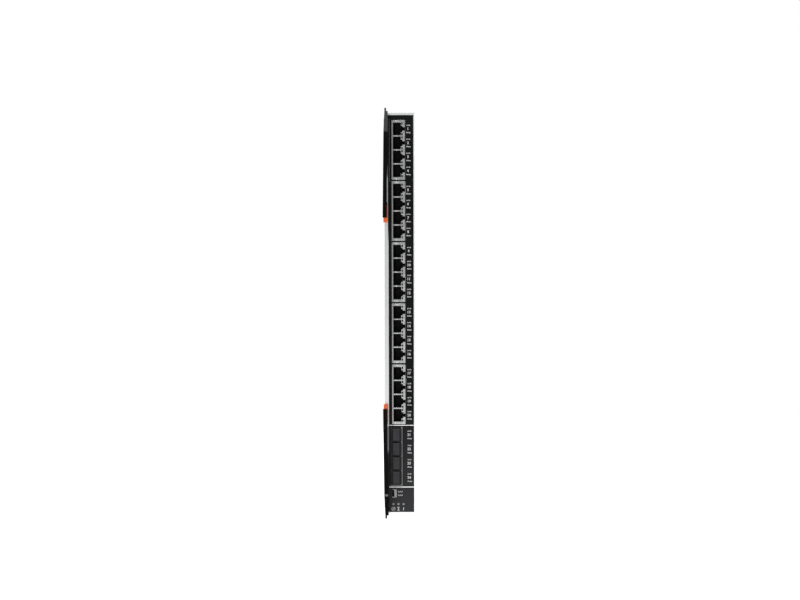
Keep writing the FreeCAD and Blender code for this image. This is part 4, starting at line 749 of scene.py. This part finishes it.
# %% [markdown]
# ## Separators and small signs
# Two thin lines part the fields of the overlay, and a grey outline runs beside and
# under the top block of jacks. Beside the serial receptacle is a pair of small waves,
# and under the three status lights are a ringed tick, a lamp on a stand and a bar, all
# of them plain signs. The ring is a disc whose two faces are inset and then bridged, so
# it has a real hole.

# %% Separators and signs
label_middle = (LABEL[0][0] + LABEL[1][0]) / 2
label_wide = LABEL[1][0] - LABEL[0][0]
SEPARATORS = ((88.4, 0.7), (26.7, 0.85))
LINE_GAP = 0.1
lines = [ink_bar(label_middle, height, label_wide - LINE_GAP, tall)
         for height, tall in SEPARATORS]


def ink_ring(x, z, radius, thick):
    """A flat ring of ink with a hole through it."""
    start_clean()
    bpy.ops.mesh.primitive_cylinder_add(vertices=36, radius=radius * MM, depth=INK_THICK * MM,
                                        location=(x * MM, INK_MIDDLE * MM, z * MM),
                                        rotation=(math.radians(90), 0, 0), end_fill_type="NGON")
    ring = settle(bpy.context.object)
    edit_faces(ring, lambda face: abs(face.normal.y) > FACING)
    bpy.ops.mesh.inset(thickness=thick * MM)
    bpy.ops.mesh.bridge_edge_loops()
    bpy.ops.object.mode_set(mode="OBJECT")
    return ring


LIGHT = [[part * 1000 for part in corner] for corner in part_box("status_light_pipes")]
LIGHT_PITCH, LIGHT_RADIUS = 5.1, 1.0
sign_z = 5.0
lights = [LIGHT[0][0] + LIGHT_RADIUS + count * LIGHT_PITCH for count in range(3)]
signs = [ink_ring(lights[0], sign_z, 1.9, 0.5),
         ink_bar(lights[0] - 0.4, sign_z - 0.3, 0.5, 1.2, -40),
         ink_bar(lights[0] + 0.5, sign_z + 0.2, 0.5, 1.9, 35),
         ink_bar(lights[1], sign_z + 1.5, 2.6, 0.6),
         ink_bar(lights[1], sign_z + 0.2, 1.0, 2.2),
         ink_bar(lights[1], sign_z - 1.4, 2.2, 0.8),
         ink_bar(lights[2], sign_z, 0.75, 3.0, 6)]
WAVE_ROWS, WAVE_START, WAVE_STEP, WAVE_TILT = (22.0, 18.5), -1.6, 1.15, 35
for row in WAVE_ROWS:
    for step in range(4):
        signs.append(ink_bar(WAVE_START + step * WAVE_STEP, row, 0.55, 1.5,
                             WAVE_TILT if step % 2 else -WAVE_TILT))
overlay_print = weld("overlay_print", printed + signs)
wear_finish(overlay_print, ink, smooth=0)
overlay_lines = weld("overlay_lines", lines)
wear_finish(overlay_lines, white_ink, smooth=0)
top_low, top_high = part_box("jack_shield_5")
UPRIGHT_X, UPRIGHT_WIDE, FOOT_X, FOOT_WIDE, FOOT_TALL = -10.2, 0.7, -3.0, 14.0, 0.5
frame_low, frame_high = top_low.z / MM - 1.6, top_high.z / MM + 1.2
frame_lines = weld("frame_lines", [
    ink_bar(UPRIGHT_X, (frame_low + frame_high) / 2, UPRIGHT_WIDE, frame_high - frame_low),
    ink_bar(FOOT_X, frame_low, FOOT_WIDE, FOOT_TALL)])
grey_ink = finish("frame_ink", (0.085, 0.085, 0.085), (0.06, 0.06, 0.06), 0.5,
                  specular=0.1, drift_scale=300, edge_amount=0.1, dust_amount=0.0)
wear_finish(frame_lines, grey_ink, smooth=0)

# %% [markdown]
# ## Spring fingers on the jack shields
# Where two ports meet, the shield has a small domed finger that grounds the plug's
# own shield, and it catches the light as a bright dot. One finger is a rounded block,
# more than half sunk in the shield. It is copied to every divider and to both ends of a
# block.

# %% Spring fingers
FINGER_X, FINGER_SUNK, END_GAP = -3.0, 0.12, 0.95
finger = soft_block("spring_finger", (0, 0, 0), (1.9, 0.8, 1.1), 0.35, 3)
fingers = []
for low, high in jack_boxes:
    middle = (low.z + high.z) / 2 / MM
    half = (high.z - low.z) / 2 / MM
    rows = [middle + (row - 1) * PORT_PITCH for row in range(PORTS_PER_BLOCK - 1)]
    for height in rows + [middle - half + END_GAP, middle + half - END_GAP]:
        fingers.append(copy_to(finger, x=FINGER_X, y=low.y / MM + FINGER_SUNK, z=height))
bpy.data.objects.remove(finger)
shield_fingers = weld("shield_fingers", fingers)
finger_plating = finish("finger_plating", (0.66, 0.66, 0.65), (0.56, 0.56, 0.55), 0.24,
                        1.0, drift_scale=500, bump=0.1, edge_amount=0.15)
wear_finish(shield_fingers, finger_plating, smooth=60)

# %% [markdown]
# ## Lips of the jack inserts
# The plastic insert of a block comes forward round each port as a thin lip, which lies
# on the shield and narrows the bright web between two ports. A lip is three flat bars:
# one under, one over and one on the board side. Each port gets a copy.

# %% Port lips
LIP_PROUD, LIP_DEEP, LIP_ROUND = 0.03, 0.12, 0.03
lip_y = jack_boxes[0][0].y / MM - LIP_PROUD
bars = [soft_block("lip_bar", (x, lip_y, z), (wide, LIP_DEEP, tall), LIP_ROUND, 1)
        for x, z, wide, tall in ((-2.75, 6.15, 7.7, 0.56), (-2.75, -6.15, 7.7, 0.56),
                                 (-6.38, 0, 0.42, 12.5))]
lip = weld("port_lip", bars)
jack_count = PORTS_PER_BLOCK * len(jack_boxes)
lips = [copy_to(lip, z=height) for height in port_heights[:jack_count]]
bpy.data.objects.remove(lip)
port_lips = weld("port_lips", lips)
wear_finish(port_lips, jack_plastic)

# %% [markdown]
# ## Cover screws with a driver recess
# The CAD screws are plain countersunk bodies. Seen from the side, each real one has a
# cross recess, so these pieces stand for the whole node: a cylinder is cut round under
# its head, drawn in to the shank, given a cross by booleans and copied to each place.

# %% Cover screws
COVER = [[part * 1000 for part in corner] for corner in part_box("cover_screws")]
HEAD_R, SHANK_R, SCREW_LONG = 2.5, 1.5, 5.0
MIDDLE_SCREWS = (100.0, 301.0)
screw_face = COVER[1][0]
under_head = screw_face - HEAD_R + SHANK_R
start_clean()
bpy.ops.mesh.primitive_cylinder_add(vertices=32, radius=HEAD_R * MM, depth=SCREW_LONG * MM,
                                    location=(screw_face * MM - SCREW_LONG / 2 * MM, 0, 0),
                                    rotation=(0, math.radians(90), 0))
screw = settle(bpy.context.object)
edit_faces(screw, lambda face: True)
bpy.ops.mesh.bisect(plane_co=(under_head * MM, 0, 0), plane_no=(1, 0, 0))
bpy.ops.mesh.select_all(action="DESELECT")
bpy.ops.object.mode_set(mode="OBJECT")
for vertex in screw.data.vertices:
    vertex.select = vertex.co.x < (under_head + 0.01) * MM
bpy.ops.object.mode_set(mode="EDIT")
bpy.ops.mesh.select_mode(type="VERT")
bpy.ops.transform.resize(value=(1, SHANK_R / HEAD_R, SHANK_R / HEAD_R),
                         center_override=(0, 0, 0))
bpy.ops.object.mode_set(mode="OBJECT")
ARM_DEEP, ARM_LONG, ARM_THICK = 2.4, 2.9, 0.62
arms = [soft_block("recess_arm", (screw_face, 0, 0), (ARM_DEEP, wide, tall), 0.12, 1)
        for wide, tall in ((ARM_LONG, ARM_THICK), (ARM_THICK, ARM_LONG))]
for arm in arms:
    take(screw)
    cut = screw.modifiers.new("recess", "BOOLEAN")
    cut.operation = "DIFFERENCE"
    cut.object = arm
    bpy.ops.object.modifier_apply(modifier=cut.name)
for arm in arms:
    bpy.data.objects.remove(arm)
screws = []
for deep in (COVER[0][1] + HEAD_R, -COVER[0][1] - HEAD_R):
    for height in (COVER[0][2] + HEAD_R, COVER[1][2] - HEAD_R):
        screws.append(copy_to(screw, y=deep, z=height))
for height in MIDDLE_SCREWS:
    screws.append(copy_to(screw, y=COVER[1][1] - HEAD_R, z=height))
bpy.data.objects.remove(screw)
recessed_screws = weld("recessed_screws", screws)
wear_finish(recessed_screws, screw_steel)
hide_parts("cover_screws")

# %% [markdown]
# ## Rivet domes on the pivots
# A shoulder rivet ends in a low dome with a small dimple where the tool held it. The
# dome is a thin disc on the head of each pivot pin, whose face is inset and raised
# twice, inset once more and pushed in.

# %% Rivet domes
DOME_STEPS = ((0.0007, 0.00012), (0.0008, 0.0001), (0.0006, 0.0), (0.0004, -0.0003))
DOME_THICK, DOME_INSIDE, DOME_PROUD = 0.0006, 0.0003, 0.0002
domes = []
for end in ("lower", "upper"):
    low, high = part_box(end + "_pivot_pin")
    start_clean()
    bpy.ops.mesh.primitive_cylinder_add(
        vertices=40, radius=(high.z - low.z) / 2 - DOME_INSIDE, depth=DOME_THICK,
        location=(low.x - DOME_PROUD, (low.y + high.y) / 2, (low.z + high.z) / 2),
        rotation=(0, math.radians(-90), 0))
    dome = settle(bpy.context.object)
    edit_faces(dome, lambda face: face.normal.x < -FACING)
    for inwards, outwards in DOME_STEPS:
        bpy.ops.mesh.inset(thickness=inwards, depth=outwards)
    bpy.ops.object.mode_set(mode="OBJECT")
    domes.append(dome)
rivet_domes = weld("rivet_domes", domes)
wear_finish(rivet_domes, pin_steel, smooth=40)

# %% [markdown]
# ## Finger ribs on the latches
# A thumb pushes each latch inwards, and three low ribs across its tip keep it from
# slipping. They ride on the latch, so they slide with it, and they stay close enough to
# the tip to clear the lever when the latch is pushed in.

# %% Latch ribs
RIB_SIZE, RIB_ROUND, FIRST_RIB, RIB_PITCH = (3.6, 0.5, 0.36), 0.12, 0.65, 0.7
for end, sign in (("lower", 1), ("upper", -1)):
    low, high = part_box(end + "_latch")
    tip = high.z if sign > 0 else low.z
    ribs = []
    for row in range(3):
        height = tip / MM - sign * (FIRST_RIB + row * RIB_PITCH)
        ribs.append(soft_block("latch_rib", ((low.x + high.x) / 2 / MM, low.y / MM, height),
                               RIB_SIZE, RIB_ROUND))
    latch_ribs = weld(end + "_latch_ribs", ribs)
    wear_finish(latch_ribs, latch_plastic, body=end + "_latch")

# %% [markdown]
# ## Contacts in the rear connectors
# In each slot of the rear connectors stands a row of gold blades. One blade is a thin
# block with a chamfered nose, and the rows copy it. They end just inside the slots, so
# they show only when one looks into them.

# %% Rear contacts
rear_gold = finish("rear_gold", (0.75, 0.52, 0.19), (0.62, 0.42, 0.14), 0.25, 1.0,
                   drift_scale=500, dust_amount=0.0)
low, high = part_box("midplane_connectors")
BLADE_DEEP, BLADE_SUNK = 5.0, 3.6
FIRST_BLOCK, BLOCK_PITCH, SLOT_PITCH, BLADE_PITCH = 25, 56, 5, 2.1
SLOT_ASIDE, POWER_PITCH = 0.45, 8.5
blade_y = high.y / MM - BLADE_SUNK
slot_middle = (low.x + high.x) / 2 / MM
blade = soft_block("gold_blade", (0, 0, 0), (0.9, BLADE_DEEP, 0.5), 0.15, 1)
blades = []
for block in range(4):
    block_middle = low.z / MM + FIRST_BLOCK + block * BLOCK_PITCH
    for slot_number in range(9):
        height = block_middle + (slot_number - 4) * SLOT_PITCH + SLOT_ASIDE
        blades += [copy_to(blade, x=slot_middle + (row - 2) * BLADE_PITCH, y=blade_y, z=height)
                   for row in range(5)]
bpy.data.objects.remove(blade)
low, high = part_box("power_connector")
power_middle = (low.z + high.z) / 2 / MM
for row in range(3):
    height = power_middle + (row - 1) * POWER_PITCH
    blades.append(soft_block("power_blade", (slot_middle, blade_y, height),
                             (9.0, BLADE_DEEP, 0.8), 0.2, 1))
rear_contacts = weld("rear_contacts", blades)
wear_finish(rear_contacts, rear_gold)
print("rear contacts:", len(rear_contacts.data.polygons), "faces")

# %% [markdown]
# ## Last look
# The last step leaves edit mode and selects nothing.

# %% Finish
start_clean()
